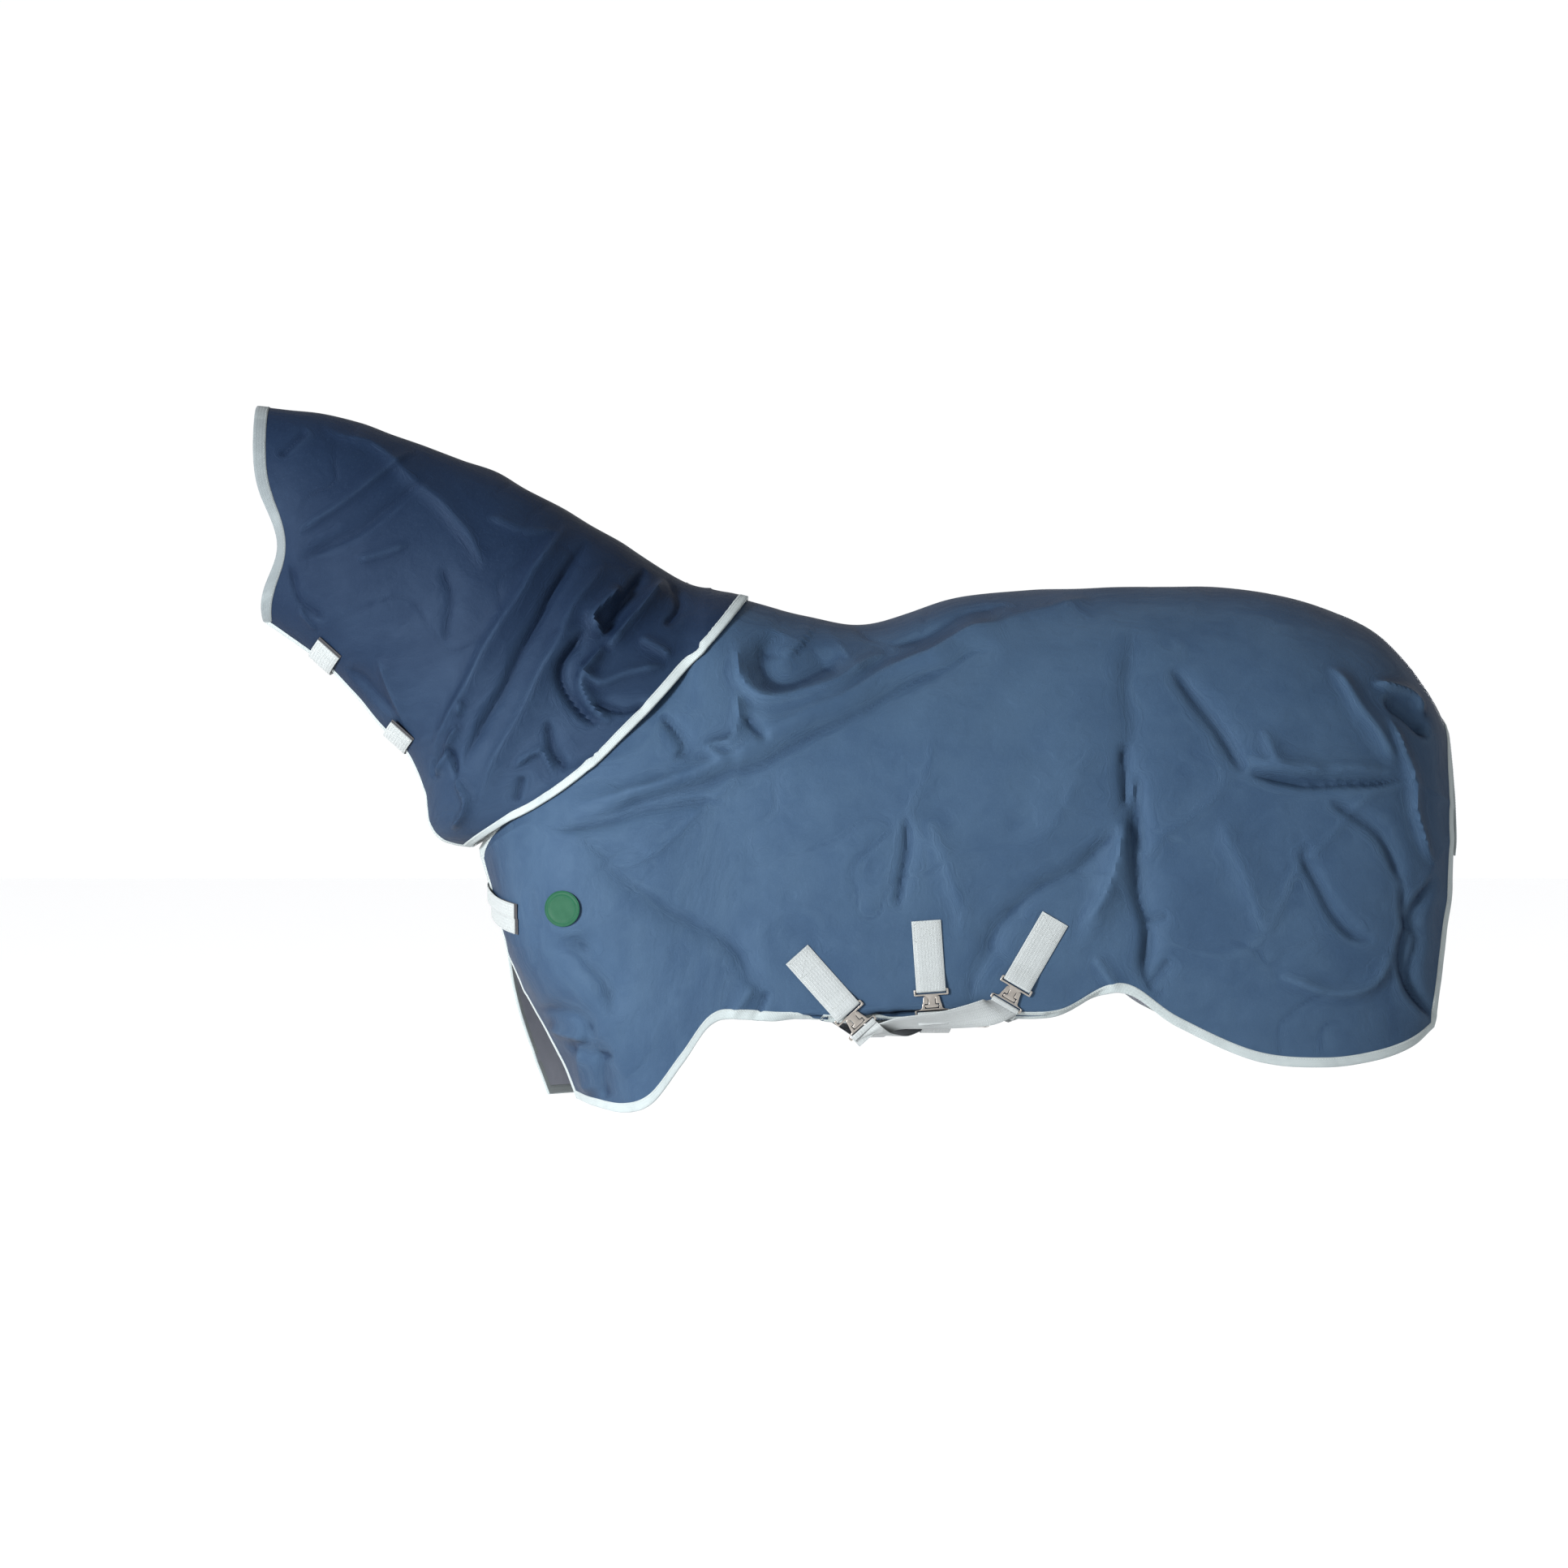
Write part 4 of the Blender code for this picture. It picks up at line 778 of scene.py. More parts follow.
def edgeRun(cloth, run, inset, f):
    # index places on a run of the cloth's edge, moved in by a real distance, with mitred corners
    iLast, jLast = cloth.count - 1
    inset = np.asarray(inset)
    def across(i, j, metric):
        return inset / metric[int(round(i)), int(round(j))]
    side, (start, end), (mitreStart, mitreEnd) = run
    if side in ("hem", "top"):
        j0 = jLast if side == "hem" else 0
        a, b = start * iLast, end * iLast
        sign = 1 if b > a else -1
        a = a + (sign * across(a, j0, cloth.along) if mitreStart else 0)
        b = b - (sign * across(b, j0, cloth.along) if mitreEnd else 0)
        i = a + (b - a) * f
        whole = np.clip(np.round(start * iLast + (end - start) * iLast * f).astype(int), 0, iLast)
        step = inset / cloth.down[whole, j0]
        return i, (j0 - step if side == "hem" else j0 + step)
    i0 = 0 if side == "front" else iLast
    a, b = start * jLast, end * jLast
    sign = 1 if b > a else -1
    a = a + (sign * across(i0, a, cloth.down) if mitreStart else 0)
    b = b - (sign * across(i0, b, cloth.down) if mitreEnd else 0)
    j = a + (b - a) * f
    whole = np.clip(np.round(start * jLast + (end - start) * jLast * f).astype(int), 0, jLast)
    step = inset / cloth.along[i0, whole]
    return (i0 + step if side == "front" else i0 - step), j


def runLength(cloth, run):
    f = np.linspace(0, 1, 200)
    i, j = edgeRun(cloth, run, np.zeros(200), f)
    line = cloth.at(i, j, np.zeros(200))
    return np.linalg.norm(np.diff(line, axis=0), axis=1).sum()


def bindingPiece(name, cloth, runs, widths, material, under, proud=0.0010):
    rings, places, gone = [], [], 0.0
    for run, width in zip(runs, widths):
        length = runLength(cloth, run)
        count = max(int(length / 0.0055), 8)
        f = np.linspace(0, 1, count + 1)[:-1] if run is not runs[-1] else np.linspace(0, 1, count + 1)
        columns = []
        for inset, height in tapeSection(width, proud, under):
            inner = np.full(f.shape, max(inset, 0.0))
            i, j = edgeRun(cloth, run, inner, f)
            point = cloth.at(i, j, np.full(f.shape, height))
            if inset < 0:
                i2, j2 = edgeRun(cloth, run, np.full(f.shape, 0.005), f)
                outward = cloth.sample(cloth.points, i, j) - cloth.sample(cloth.points, i2, j2)
                outward /= np.maximum(np.linalg.norm(outward, axis=1, keepdims=True), 1e-9)
                point = point - outward * inset
            columns.append(point)
        rings.append(np.stack(columns, 1))
        run_u = gone + f * length
        around = np.linspace(0, 2 * width, len(columns))
        places.append(np.stack([np.repeat(run_u[:, None], len(columns), 1),
                                np.repeat(around[None, :], len(f), 0),
                                np.zeros((len(f), len(columns)))], 2))
        gone += length
    rings, places = np.concatenate(rings), np.concatenate(places)
    rings[..., 1] = np.where(cloth.hand * rings[..., 1] < 0, 0, rings[..., 1])
    return makePiece(name, rings.reshape(-1, 3), sweptRing(rings), material, places.reshape(-1, 3), 50)


def stitchSet(starts, ends, outs, thick=0.00055):
    # small spindles of thread, each from a start point to an end point
    starts, ends, outs = (np.asarray(a, float) for a in (starts, ends, outs))
    along = ends - starts
    along /= np.maximum(np.linalg.norm(along, axis=1, keepdims=True), 1e-9)
    side = np.cross(along, outs)
    side /= np.maximum(np.linalg.norm(side, axis=1, keepdims=True), 1e-9)
    rise = np.cross(side, along)
    a, b = starts + (ends - starts) * 0.22, starts + (ends - starts) * 0.78
    rings = []
    for middle in (a, b):
        rings += [middle + side * thick * 0.6, middle + rise * thick, middle - side * thick * 0.6, middle - rise * thick * 0.4]
    verts = np.stack([starts, *rings, ends], 1)
    n = len(starts)
    pattern = []
    for k in range(4):
        m = (k + 1) % 4
        pattern += [(0, 1 + m, 1 + k), (1 + k, 1 + m, 5 + m), (1 + k, 5 + m, 5 + k), (9, 5 + k, 5 + m)]
    faces = (np.arange(n)[:, None, None] * 10 + np.array(pattern)[None]).reshape(-1, 3)
    return verts.reshape(-1, 3), faces


class Thread:
    # gathers stitches for one body and one colour
    def __init__(self):
        self.starts, self.ends, self.outs = [], [], []

    def line(self, points, outs, pitch=0.0048, share=0.72):
        points, outs = np.asarray(points, float), np.asarray(outs, float)
        gone = np.concatenate([[0], np.cumsum(np.linalg.norm(np.diff(points, axis=0), axis=1))])
        count = int(gone[-1] / pitch)
        if count < 1:
            return
        first = (np.arange(count) + 0.15) * gone[-1] / count
        last = first + share * gone[-1] / count
        at = lambda g, rows: np.stack([np.interp(g, gone, rows[:, c]) for c in range(3)], 1)
        self.starts.append(at(first, points))
        self.ends.append(at(last, points))
        self.outs.append(at(first, outs))

    def alongEdge(self, cloth, run, inset, height):
        f = np.linspace(0.002, 0.998, max(int(runLength(cloth, run) / 0.004), 8))
        i, j = edgeRun(cloth, run, np.full(f.shape, inset), f)
        self.line(cloth.at(i, j, np.full(f.shape, height)), cloth.sample(cloth.normals, i, j))

    def piece(self, name, material):
        starts, ends, outs = (np.concatenate(a) for a in (self.starts, self.ends, self.outs))
        verts, faces = stitchSet(starts, ends, outs)
        return makePiece(name, verts, faces, material, None, 80)


made = {}


def keep(piece, body, nodes=(), rides=True):
    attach(piece, body)
    if nodes:
        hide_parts(*nodes)
    made[piece.name] = piece
    return piece


# ---- side panels

panelSpec = {
    "alongCount": 316,
    "downCount": 188,
    "bindingWidth": 0.016,
    "stitchInset": 0.0132,
    "turnUnder": 0.022,
    "flatSize": (1.95, 1.10),
    "flatArea": 1.62,
}

# places that stay flat because something is sewn or buckled there: x, z, radius, left or right
flatSpots = (
    (-0.303, -0.532, 0.050, -1),
    (0.100, -0.608, 0.050, -1), (0.150, -0.660, 0.055, -1), (0.190, -0.712, 0.060, -1),
    (0.320, -0.560, 0.050, -1), (0.326, -0.620, 0.055, -1), (0.329, -0.690, 0.065, -1),
    (0.540, -0.557, 0.050, -1), (0.505, -0.605, 0.055, -1), (0.468, -0.672, 0.065, -1),
    (0.500, -0.640, 0.075, 1), (0.330, -0.640, 0.075, 1), (0.180, -0.640, 0.075, 1),
)


def flatMask(points, hand):
    mask = np.zeros(points.shape[:2])
    for x, z, radius, side in flatSpots:
        if side == hand:
            away = np.hypot(points[..., 0] - x, points[..., 2] - z)
            mask = np.maximum(mask, 1 - smoothstep(away, radius * 0.7, radius * 1.6))
    chest = 1 - smoothstep(points[..., 0], -0.395, -0.33)
    band = smoothstep(points[..., 2], -0.62, -0.585) * (1 - smoothstep(points[..., 2], -0.50, -0.46))
    return np.maximum(mask, chest * band * 0.85)


def otherSide(folds, seed):
    # the same kind of folds, wandered and weakened, for the side away from the first
    rng = np.random.default_rng(seed)
    moved = []
    for height, width, line in folds:
        shift = rng.uniform(-0.045, 0.045, 2)
        moved.append((height * rng.uniform(0.5, 1.0), width * rng.uniform(0.9, 1.3),
                      tuple((x + shift[0], z + shift[1] * 0.6) for x, z in line)))
    return tuple(moved)


def cadTree(*nodes):
    verts, faces = [], []
    for node in nodes:
        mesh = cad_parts[node].data
        faces += [[k + len(verts) for k in polygon.vertices] for polygon in mesh.polygons]
        verts += [v.co.copy() for v in mesh.vertices]
    return BVHTree.FromPolygons(verts, faces)


def aboveCad(points, normals, tree, mask):
    # how far each masked point of the smooth form lies outside the drafted facets
    gap = np.zeros(points.shape[:2])
    for i, j in np.argwhere(mask > 0.02):
        start = Vector(points[i, j] + normals[i, j] * 0.03)
        hit = tree.ray_cast(start, Vector(-normals[i, j]), 0.07)
        if hit[0] is not None:
            gap[i, j] = 0.03 - (hit[0] - start).length
    return gap


def buildSide(hand, word):
    last = len(ribs) - 1
    u = evenMarks(bodySurface, last, panelSpec["alongCount"], 0.7)
    v = np.linspace(0, 1, panelSpec["downCount"])
    base = bodySurface(u, v)
    seed = 11 if hand < 0 else 47
    folds = bodyFolds if hand < 0 else otherSide(bodyFolds, 5)
    front = 1 - smoothstep(base[..., 0], -0.40, -0.12)
    low = smoothstep(-base[..., 2], 0.60, 0.885)
    if hand < 0:
        base[..., 0] += 0.054 * front * low
    else:
        base[..., 0] -= 0.016 * front * np.sin(math.pi * np.clip((-base[..., 2] - 0.58) / 0.36, 0, 1))
    hemZ = base[:, -1:, 2]
    turned = smoothstep(base[:, -1:, 0], 0.035, 0.10) * (1 - smoothstep(base[:, -1:, 0], 0.595, 0.66))
    turned = turned * smoothstep(hemZ - base[..., 2], -panelSpec["turnUnder"], 0)
    base[..., 1] -= 0.014 * turned ** 1.5
    base[..., 2] += 0.007 * turned ** 2
    if hand < 0:
        drawn = smoothstep(base[..., 0], 0.19, 0.27) * (1 - smoothstep(base[..., 0], 0.41, 0.47))
        base[..., 1] -= 0.022 * drawn * smoothstep(-base[..., 2], 0.698, 0.730)
    heights = foldHeights(base, folds, seed, 1.6) + drapeNoise(base, seed, 1.0)
    onSpine = base[:, :1, 1] < 1e-4
    near = smoothstep(base[..., 1], 0.004, 0.075)
    heights = np.where(onSpine, heights * near, heights)
    spineWave = 0.004 * latticeNoise(base[:, :1, 0], base[:, :1, 0] * 0, 0.11, 3)
    heights += np.where(onSpine, (1 - near) * spineWave, 0)
    mask = flatMask(base, hand)
    mirrored = base * (1, hand, 1)
    normals = gridNormals(mirrored)
    if hand * normals[..., 1].mean() < 0:
        normals = -normals
    tree = cadTree(f"{word}_side_panel", f"{word}_edge_binding")
    seat = aboveCad(mirrored, normals, tree, mask)
    heights = heights * (1 - mask) - mask * np.clip(seat, -0.001, 0.012)
    return shapedSheet(base, hand, heights)


def lowest(heights, passes):
    # each point takes the lowest of its neighbours, so that a coarser layer stays beneath a finer one
    for _ in range(passes):
        wide = np.pad(heights, 1, mode="edge")
        around = [wide[1 + a:wide.shape[0] - 1 + a, 1 + b:wide.shape[1] - 1 + b] for a in (-1, 0, 1) for b in (-1, 0, 1)]
        heights = np.min(around, axis=0)
    return heights


def blurred(grid, passes):
    for _ in range(passes):
        wide = np.pad(grid, 1, mode="edge")
        grid = (wide[1:-1, 1:-1] * 2 + wide[:-2, 1:-1] + wide[2:, 1:-1] + wide[1:-1, :-2] + wide[1:-1, 2:]) / 6
    return grid


def shapedSheet(base, hand, heights):
    # the outer cloth, and the smoother one that its lining is cut from
    outer = Cloth(base, hand, heights)
    # valley depth, which shellTone turns into painted shade and painted light
    outer.hollow = hollows(heights)
    calm = blurred(lowest(heights, 2), 3)
    calm = np.minimum(calm, lowest(heights, 1)) - 0.0006 * smoothstep(base[..., 1], 0.004, 0.03)
    inner = Cloth(base, hand, calm)
    return outer, inner


def hollows(heights):
    # in mm: positive in valleys, negative on ridges
    return np.clip((blurred(heights, 7) - heights) * 1000, -2.0, 2.5)


def shellTone(cloth, crest, depth):
    # painted shade: deeper on faces that look up along the top line, deeper in fold valleys and lighter on fold ridges,
    # plus what depth adds
    z = cloth.points[..., 2]
    facing = np.abs(cloth.normals[..., 1])
    # faces that look up get painted shade, weighted by crest
    top = 1 - smoothstep(facing, 0.15, 0.85)
    # painted shade in the valleys of folds and painted light on their ridges
    foldShading = getattr(cloth, "hollow", 0) * 0.13
    return np.clip(crest * top + depth + foldShading, 0, 1)


panels = {}
bodyThread = Thread()
sides = ((-1, "left"), (1, "right"))
under = form["shellThickness"] + form["liningGap"] + form["liningThickness"] + 0.0002
neckEnd = None
for hand, word in sides:
    cloth, inner = buildSide(hand, word)
    panels[word] = cloth
    x, z = cloth.points[..., 0], cloth.points[..., 2]
    # painted shade towards the rump, and darker towards the hem
    rump = smoothstep(x, 0.55, 1.2) * 0.10 + smoothstep(-z, 0.55, 0.80) * 0.04
    tone = shellTone(cloth, 0.62, rump + 0.10)
    shellPiece = layerPiece(f"rug_shell_{word}", cloth, 0, -form["shellThickness"], shell, 1, tone)
    liningTop = -form["shellThickness"] - form["liningGap"]
    liningPiece = layerPiece(f"rug_lining_{word}", inner, liningTop, liningTop - form["liningThickness"], lining, 2)
    keep(shellPiece, "rug_body", [f"{word}_side_panel"])
    keep(liningPiece, "rug_body", [f"{word}_side_lining"])
    spineU = evenMarks(bodySurface, len(ribs) - 1, panelSpec["alongCount"], 0.7)
    spineShare = np.interp(form["spineRib"], spineU, np.linspace(0, 1, len(spineU)))
    runs = (
        ("rear", (0, 1), (False, True)),
        ("hem", (1, 0), (True, True)),
        ("front", (1, 0), (True, True)),
        ("top", (0, spineShare), (True, False)),
    )
    width = panelSpec["bindingWidth"]
    trim = bindingPiece(f"rug_binding_{word}", cloth, runs, [width] * 4, binding, under)
    keep(trim, "rug_body", [f"{word}_edge_binding"])
    for run in runs:
        bodyThread.alongEdge(cloth, run, panelSpec["stitchInset"], 0.0013)
print("side panels laid")

bodyTrees = {word: panels[word].tree() for _, word in sides}
bothFaces = []
bothPoints = []
for _, word in sides:
    cloth = panels[word]
    bothFaces += (gridFaces(*cloth.count) + len(bothPoints)).tolist()
    bothPoints += [Vector(p) for p in cloth.points.reshape(-1, 3)]
bodyTree = BVHTree.FromPolygons(bothPoints, bothFaces)


# ---- neck cover

neckSpec = {
    "alongCount": 216,
    "downCount": 160,
    "clearance": 0.0066,
    "pollWidth": 0.022,
    "bindingWidth": 0.016,
    "stitchInset": 0.0132,
    "flatSize": (1.05, 0.90),
    "flatArea": 0.60,
}


def seatOver(cloth, tree, clearance):
    # moves the cover out, away from the middle of the neck, until it clears the shell beneath it
    middles = (cloth.points[:, 0] + cloth.points[:, -1]) / 2 * (1, 0, 1)
    away = cloth.points - middles[:, None]
    reach = np.linalg.norm(away, axis=2)
    away = away / reach[..., None]
    need = np.zeros(reach.shape)
    for i, j in np.ndindex(*reach.shape):
        if cloth.points[i, j, 0] < -0.58:
            continue
        start = Vector(middles[i] + away[i, j] * (reach[i, j] + 0.05))
        hit = tree.ray_cast(start, Vector(-away[i, j]), 0.05 + clearance * 2)
        if hit[0] is not None:
            beneath = (hit[0] - Vector(middles[i])).length
            slope = max(abs(hit[1].dot(Vector(away[i, j]))), 0.5)
            need[i, j] = max(0.0, beneath + clearance / slope - reach[i, j])
    push = need.copy()
    for _ in range(6):
        push = np.maximum(need, blurred(push, 3))

    def move(sheet):
        sheet.points = sheet.points + away * push[..., None]
        sheet.refresh()

    move(cloth)
    return move


covers = {}
neckThread = Thread()
for hand, word in sides:
    u = evenMarks(neckSurface, len(sections) - 1, neckSpec["alongCount"], 0.35)
    v = np.linspace(0, 1, neckSpec["downCount"])
    base = neckSurface(u, v)
    seed = 91 if hand < 0 else 133
    folds = neckFolds if hand < 0 else otherSide(neckFolds, 9)
    heights = foldHeights(base, folds, seed, 1.35) + drapeNoise(base, seed, 0.75)
    near = smoothstep(base[..., 1], 0.002, 0.045)
    crestWave = 0.0035 * latticeNoise(base[:, :1, 0], base[:, :1, 0] * 0, 0.06, 8)
    heights = heights * np.where(v[None, :] < 0.5, near, 1) + np.where(v[None, :] < 0.5, (1 - near) * crestWave, 0)
    closure = np.zeros(heights.shape)
    for x, z in ((-0.742, -0.096), (-0.610, -0.239)):
        apart = np.linalg.norm(base - (x, 0.03, z), axis=2)
        closure = np.maximum(closure, 1 - smoothstep(apart, 0.045, 0.095))
    heights = heights * (1 - closure * 0.9)
    cloth, inner = shapedSheet(base, hand, heights)
    push = seatOver(cloth, bodyTree, neckSpec["clearance"])
    push(inner)
    covers[word] = cloth
    # painted shade, deeper higher up the neck and on faces that look up
    tone = shellTone(cloth, 0.25, 0.14 + 0.66 * smoothstep(cloth.points[..., 2], -0.42, 0.06))
    coverPiece = layerPiece(f"neck_shell_{word}", cloth, 0, -form["shellThickness"], neckShell, 1, tone)
    liningPiece = layerPiece(f"neck_lining_{word}", inner, liningTop, liningTop - form["liningThickness"], lining, 2)
    keep(coverPiece, "neck_cover", [f"neck_cover_{word}_panel"])
    keep(liningPiece, "neck_cover", [f"neck_cover_{word}_lining"])
    poll = (("front", (0, 1), (False, True)),)
    rest = (("hem", (0, 1), (True, True)), ("rear", (1, 0), (True, False)))
    trim = bindingPiece(f"neck_binding_{word}", cloth, rest, [neckSpec["bindingWidth"]] * 2, binding, under)
    pollTrim = bindingPiece(f"poll_binding_{word}", cloth, poll, [neckSpec["pollWidth"]], pollTape, under, 0.0013)
    keep(trim, "neck_cover", [f"neck_cover_{word}_binding"])
    keep(pollTrim, "neck_cover")
    neckThread.alongEdge(cloth, poll[0], neckSpec["pollWidth"] - 0.003, 0.0017)
    for run in rest:
        neckThread.alongEdge(cloth, run, neckSpec["stitchInset"], 0.0013)
print("neck cover laid")

coverPoints, coverFaces = [], []
for _, word in sides:
    cloth = covers[word]
    coverFaces += (gridFaces(*cloth.count) + len(coverPoints)).tolist()
    coverPoints += [Vector(p) for p in cloth.points.reshape(-1, 3)]
coverTree = BVHTree.FromPolygons(coverPoints, coverFaces)


# ---- bands of webbing and tape


def bandSection(width, thick):
    # half widths and heights of a woven band with soft selvedges, anticlockwise from its lower left
    h, t = width / 2, thick
    return (
        (-h * 0.97, 0), (-h * 0.5, 0), (0, 0), (h * 0.5, 0), (h * 0.97, 0), (h, t * 0.3), (h, t * 0.7),
        (h * 0.97, t), (h * 0.5, t * 1.06), (0, t * 1.08), (-h * 0.5, t * 1.06), (-h * 0.97, t), (-h, t * 0.7), (-h, t * 0.3),
    )


class Band:
    # a strip along a line of places, with a sideways and an outward direction at each
    def __init__(self, line, across, out, width, thick):
        self.line, self.out = np.asarray(line, float), np.asarray(out, float)
        self.out = self.out / np.linalg.norm(self.out, axis=1, keepdims=True)
        across = np.asarray(across, float)
        across = across - self.out * (across * self.out).sum(1, keepdims=True)
        self.across = across / np.linalg.norm(across, axis=1, keepdims=True)
        self.width, self.thick = width, thick
        steps = np.linalg.norm(np.diff(self.line, axis=0), axis=1)
        self.gone = np.concatenate([[0], np.cumsum(steps)])

    def piece(self, name, material, smooth=50):
        rings, places = [], []
        for a, h in bandSection(self.width, self.thick):
            rings.append(self.line + self.across * a + self.out * h)
            places.append(np.stack([np.full(len(self.gone), a), self.gone, np.zeros(len(self.gone))], 1))
        rings, places = np.stack(rings, 1), np.stack(places, 1)
        return makePiece(name, rings.reshape(-1, 3), sweptRing(rings), material, places.reshape(-1, 3), smooth)

    def at(self, along, across, height=None):
        height = self.thick * 1.1 if height is None else height
        pick = lambda rows: np.stack([np.interp(along, self.gone, rows[:, c]) for c in range(3)], -1)
        return pick(self.line) + pick(self.across) * np.asarray(across)[..., None] + pick(self.out) * height, pick(self.out)

    def layer(self, start, end, width, thick, depth):
        # a band beneath part of this one, which may run a little past either end
        along = np.linspace(start, end, 26)
        inside = np.clip(along, 0, self.gone[-1])
        line, outs = self.at(inside, np.zeros(26), -depth)
        ahead = np.gradient(self.line, axis=0)
        ahead /= np.linalg.norm(ahead, axis=1, keepdims=True)
        line = line + ahead[np.where(inside > self.gone[-1] / 2, -1, 0)] * (along - inside)[:, None]
        nearest = np.clip(np.searchsorted(self.gone, inside), 0, len(self.gone) - 1)
        return Band(line, self.across[nearest], outs, width, thick)

    def boxStitch(self, thread, start, end, inset=0.0035):
        # a stitched box with a cross in it
        h = self.width / 2 - inset
        corners = [(start, -h), (end, -h), (end, h), (start, h), (start, -h), (end, h)]
        for a, b in list(zip(corners, corners[1:])) + [((end, -h), (start, h))]:
            f = np.linspace(0, 1, 14)
            points, outs = self.at(a[0] + (b[0] - a[0]) * f, a[1] + (b[1] - a[1]) * f, self.thick * 1.08 + 0.0001)
            thread.line(points, outs, 0.0040)

    def rowStitch(self, thread, along, inset=0.003):
        h = self.width / 2 - inset
        f = np.linspace(-h, h, 14)
        points, outs = self.at(np.full(14, along), f, self.thick * 1.08 + 0.0001)
        thread.line(points, outs, 0.0034)


def sideSeat(tree, x, z, side):
    hit = tree.ray_cast(Vector((x, side, z)), Vector((0, -side, 0)))
    return abs(hit[0].y) if hit[0] is not None else None


def sideBand(tree, side, ends, width, thick, seat, spacing=0.003, lastY=None):
    # a band lying on one side of the rug between two x, z places
    start, end = np.array(ends[0]), np.array(ends[1])
    length = np.linalg.norm(end - start)
    f = np.linspace(0, 1, max(int(length / spacing), 6))
    down = (end - start) / length
    cross = np.array((-down[1], down[0]))
    reach = []
    for t in f:
        x, z = start + (end - start) * t
        seats = [sideSeat(tree, x + cross[0] * s, z + cross[1] * s, side) for s in np.linspace(-width / 2, width / 2, 5)]
        known = [s for s in seats if s is not None]
        reach.append(max(known) if known else None)
    known = [k for k, value in enumerate(reach) if value is not None]
    reach = np.interp(range(len(f)), known, [reach[k] for k in known])
    calm = reach.copy()
    for _ in range(8):
        calm = np.maximum(reach, np.convolve(np.pad(calm, 2, mode="edge"), np.ones(5) / 5, "valid"))
    calm += seat
    if lastY is not None:
        calm = calm + (lastY - calm[-1]) * smoothstep(f, 0.72, 1.0)
    line = np.stack([start[0] + (end - start)[0] * f, side * calm, start[1] + (end - start)[1] * f], 1)
    across = np.repeat([[cross[0], 0, cross[1]]], len(f), 0)
    slope = np.gradient(line, axis=0)
    out = np.cross(across, slope)
    out *= np.sign(out[:, 1:2] * side)
    return Band(line, across, out, width, thick)


def wrapBand(tree, centre, ahead, across, along, low, high, width, thick, seat, count=46):
    # a band wrapped round a rounded front, from one angle to another as seen from its centre
    centre, ahead, across, along = (np.array(a, float) for a in (centre, ahead, across, along))
    rays, reach = [], []
    for angle in np.linspace(math.radians(low), math.radians(high), count):
        ray = ahead * math.cos(angle) + across * math.sin(angle)
        rays.append(ray)
        found = []
        for offset in np.linspace(-0.5, 0.5, 5):
            start = centre + along * offset * width
            hit = tree.ray_cast(Vector(start + ray * 0.6), Vector(-ray), 0.6)
            if hit[0] is not None:
                found.append((hit[0] - Vector(start)).length)
        reach.append(max(found) if found else None)
    known = [k for k, value in enumerate(reach) if value is not None]
    reach = np.interp(range(count), known, [reach[k] for k in known])
    calm = reach.copy()
    for _ in range(10):
        calm = np.maximum(reach, np.convolve(np.pad(calm, 2, mode="edge"), np.ones(5) / 5, "valid"))
    rays = np.array(rays)
    line = centre + rays * (calm + seat)[:, None]
    slope = np.gradient(line, axis=0)
    out = np.cross(np.repeat([along], count, 0), slope)
    out *= np.sign((out * rays).sum(1, keepdims=True))
    return Band(line, np.repeat([along], count, 0), out, width, thick)


# ---- metal fittings: the drafted solids with rounded edges


def roundedNode(name, node, body, material, radius, segments=3, spin=35):
    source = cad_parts[node]
    mesh = source.data.copy()
    mesh.name = name
    obj = bpy.data.objects.new(name, mesh)
    obj.matrix_world = source.matrix_world.copy()
    bpy.context.scene.collection.objects.link(obj)
    work = bmesh.new()
    work.from_mesh(mesh)
    bmesh.ops.remove_doubles(work, verts=work.verts, dist=1e-5)
    bmesh.ops.dissolve_limit(work, angle_limit=math.radians(1), verts=work.verts, edges=work.edges)
    sharp = [e for e in work.edges if len(e.link_faces) == 2 and e.calc_face_angle(0) > math.radians(spin)]
    bmesh.ops.bevel(work, geom=sharp, offset=radius, segments=segments, profile=0.6, affect="EDGES", clamp_overlap=True)
    work.to_mesh(mesh)
    work.free()
    mesh.materials.clear()
    mesh.materials.append(material)
    mesh.shade_smooth()
    mesh.set_sharp_from_angle(angle=math.radians(50))
    return keep(obj, body, [node])


fittings = {
    "thick": 0.0025,
    "bevel": 0.0006,
    # outlines as distance down the strap and across it, in mm, for one half; the other half mirrors it
    "hook": ((0, 0), (0, 27.6), (0.6, 29.0), (2.2, 29.5), (8.8, 29.5), (10.4, 29.0), (11.0, 27.6), (11.0, 13.2), (12.6, 9.2),
             (15.4, 6.4), (18.0, 5.5), (25.2, 5.5), (26.2, 7.0), (26.4, 10.0), (27.4, 11.2), (30.2, 11.2), (31.6, 9.8),
             (32.0, 7.0), (32.0, 0)),
    "hookSlot": ((3.0, 0), (3.0, 26.0), (3.6, 26.6), (7.4, 26.6), (8.0, 26.0), (8.0, 0)),
    "keeper": ((25.0, 6.8), (13.4, 6.8), (12.4, 7.8), (12.4, 12.2), (13.6, 13.6), (20.0, 14.6), (27.0, 16.6), (32.4, 17.6),
               (34.4, 20.0), (35.2, 24.0), (35.4, 27.8), (36.4, 29.2), (38.0, 29.5), (41.8, 29.5), (43.4, 29.0),
               (44.0, 27.6), (44.0, 0)),
    "keeperSlot": ((36.2, 0), (36.2, 26.0), (36.8, 26.6), (40.4, 26.6), (41.0, 26.0), (41.0, 0)),
}


def mirroredOutline(half):
    other = [(d, -c) for d, c in reversed(half)]
    ring = list(half) + other
    return [p for k, p in enumerate(ring) if p != ring[k - 1]]


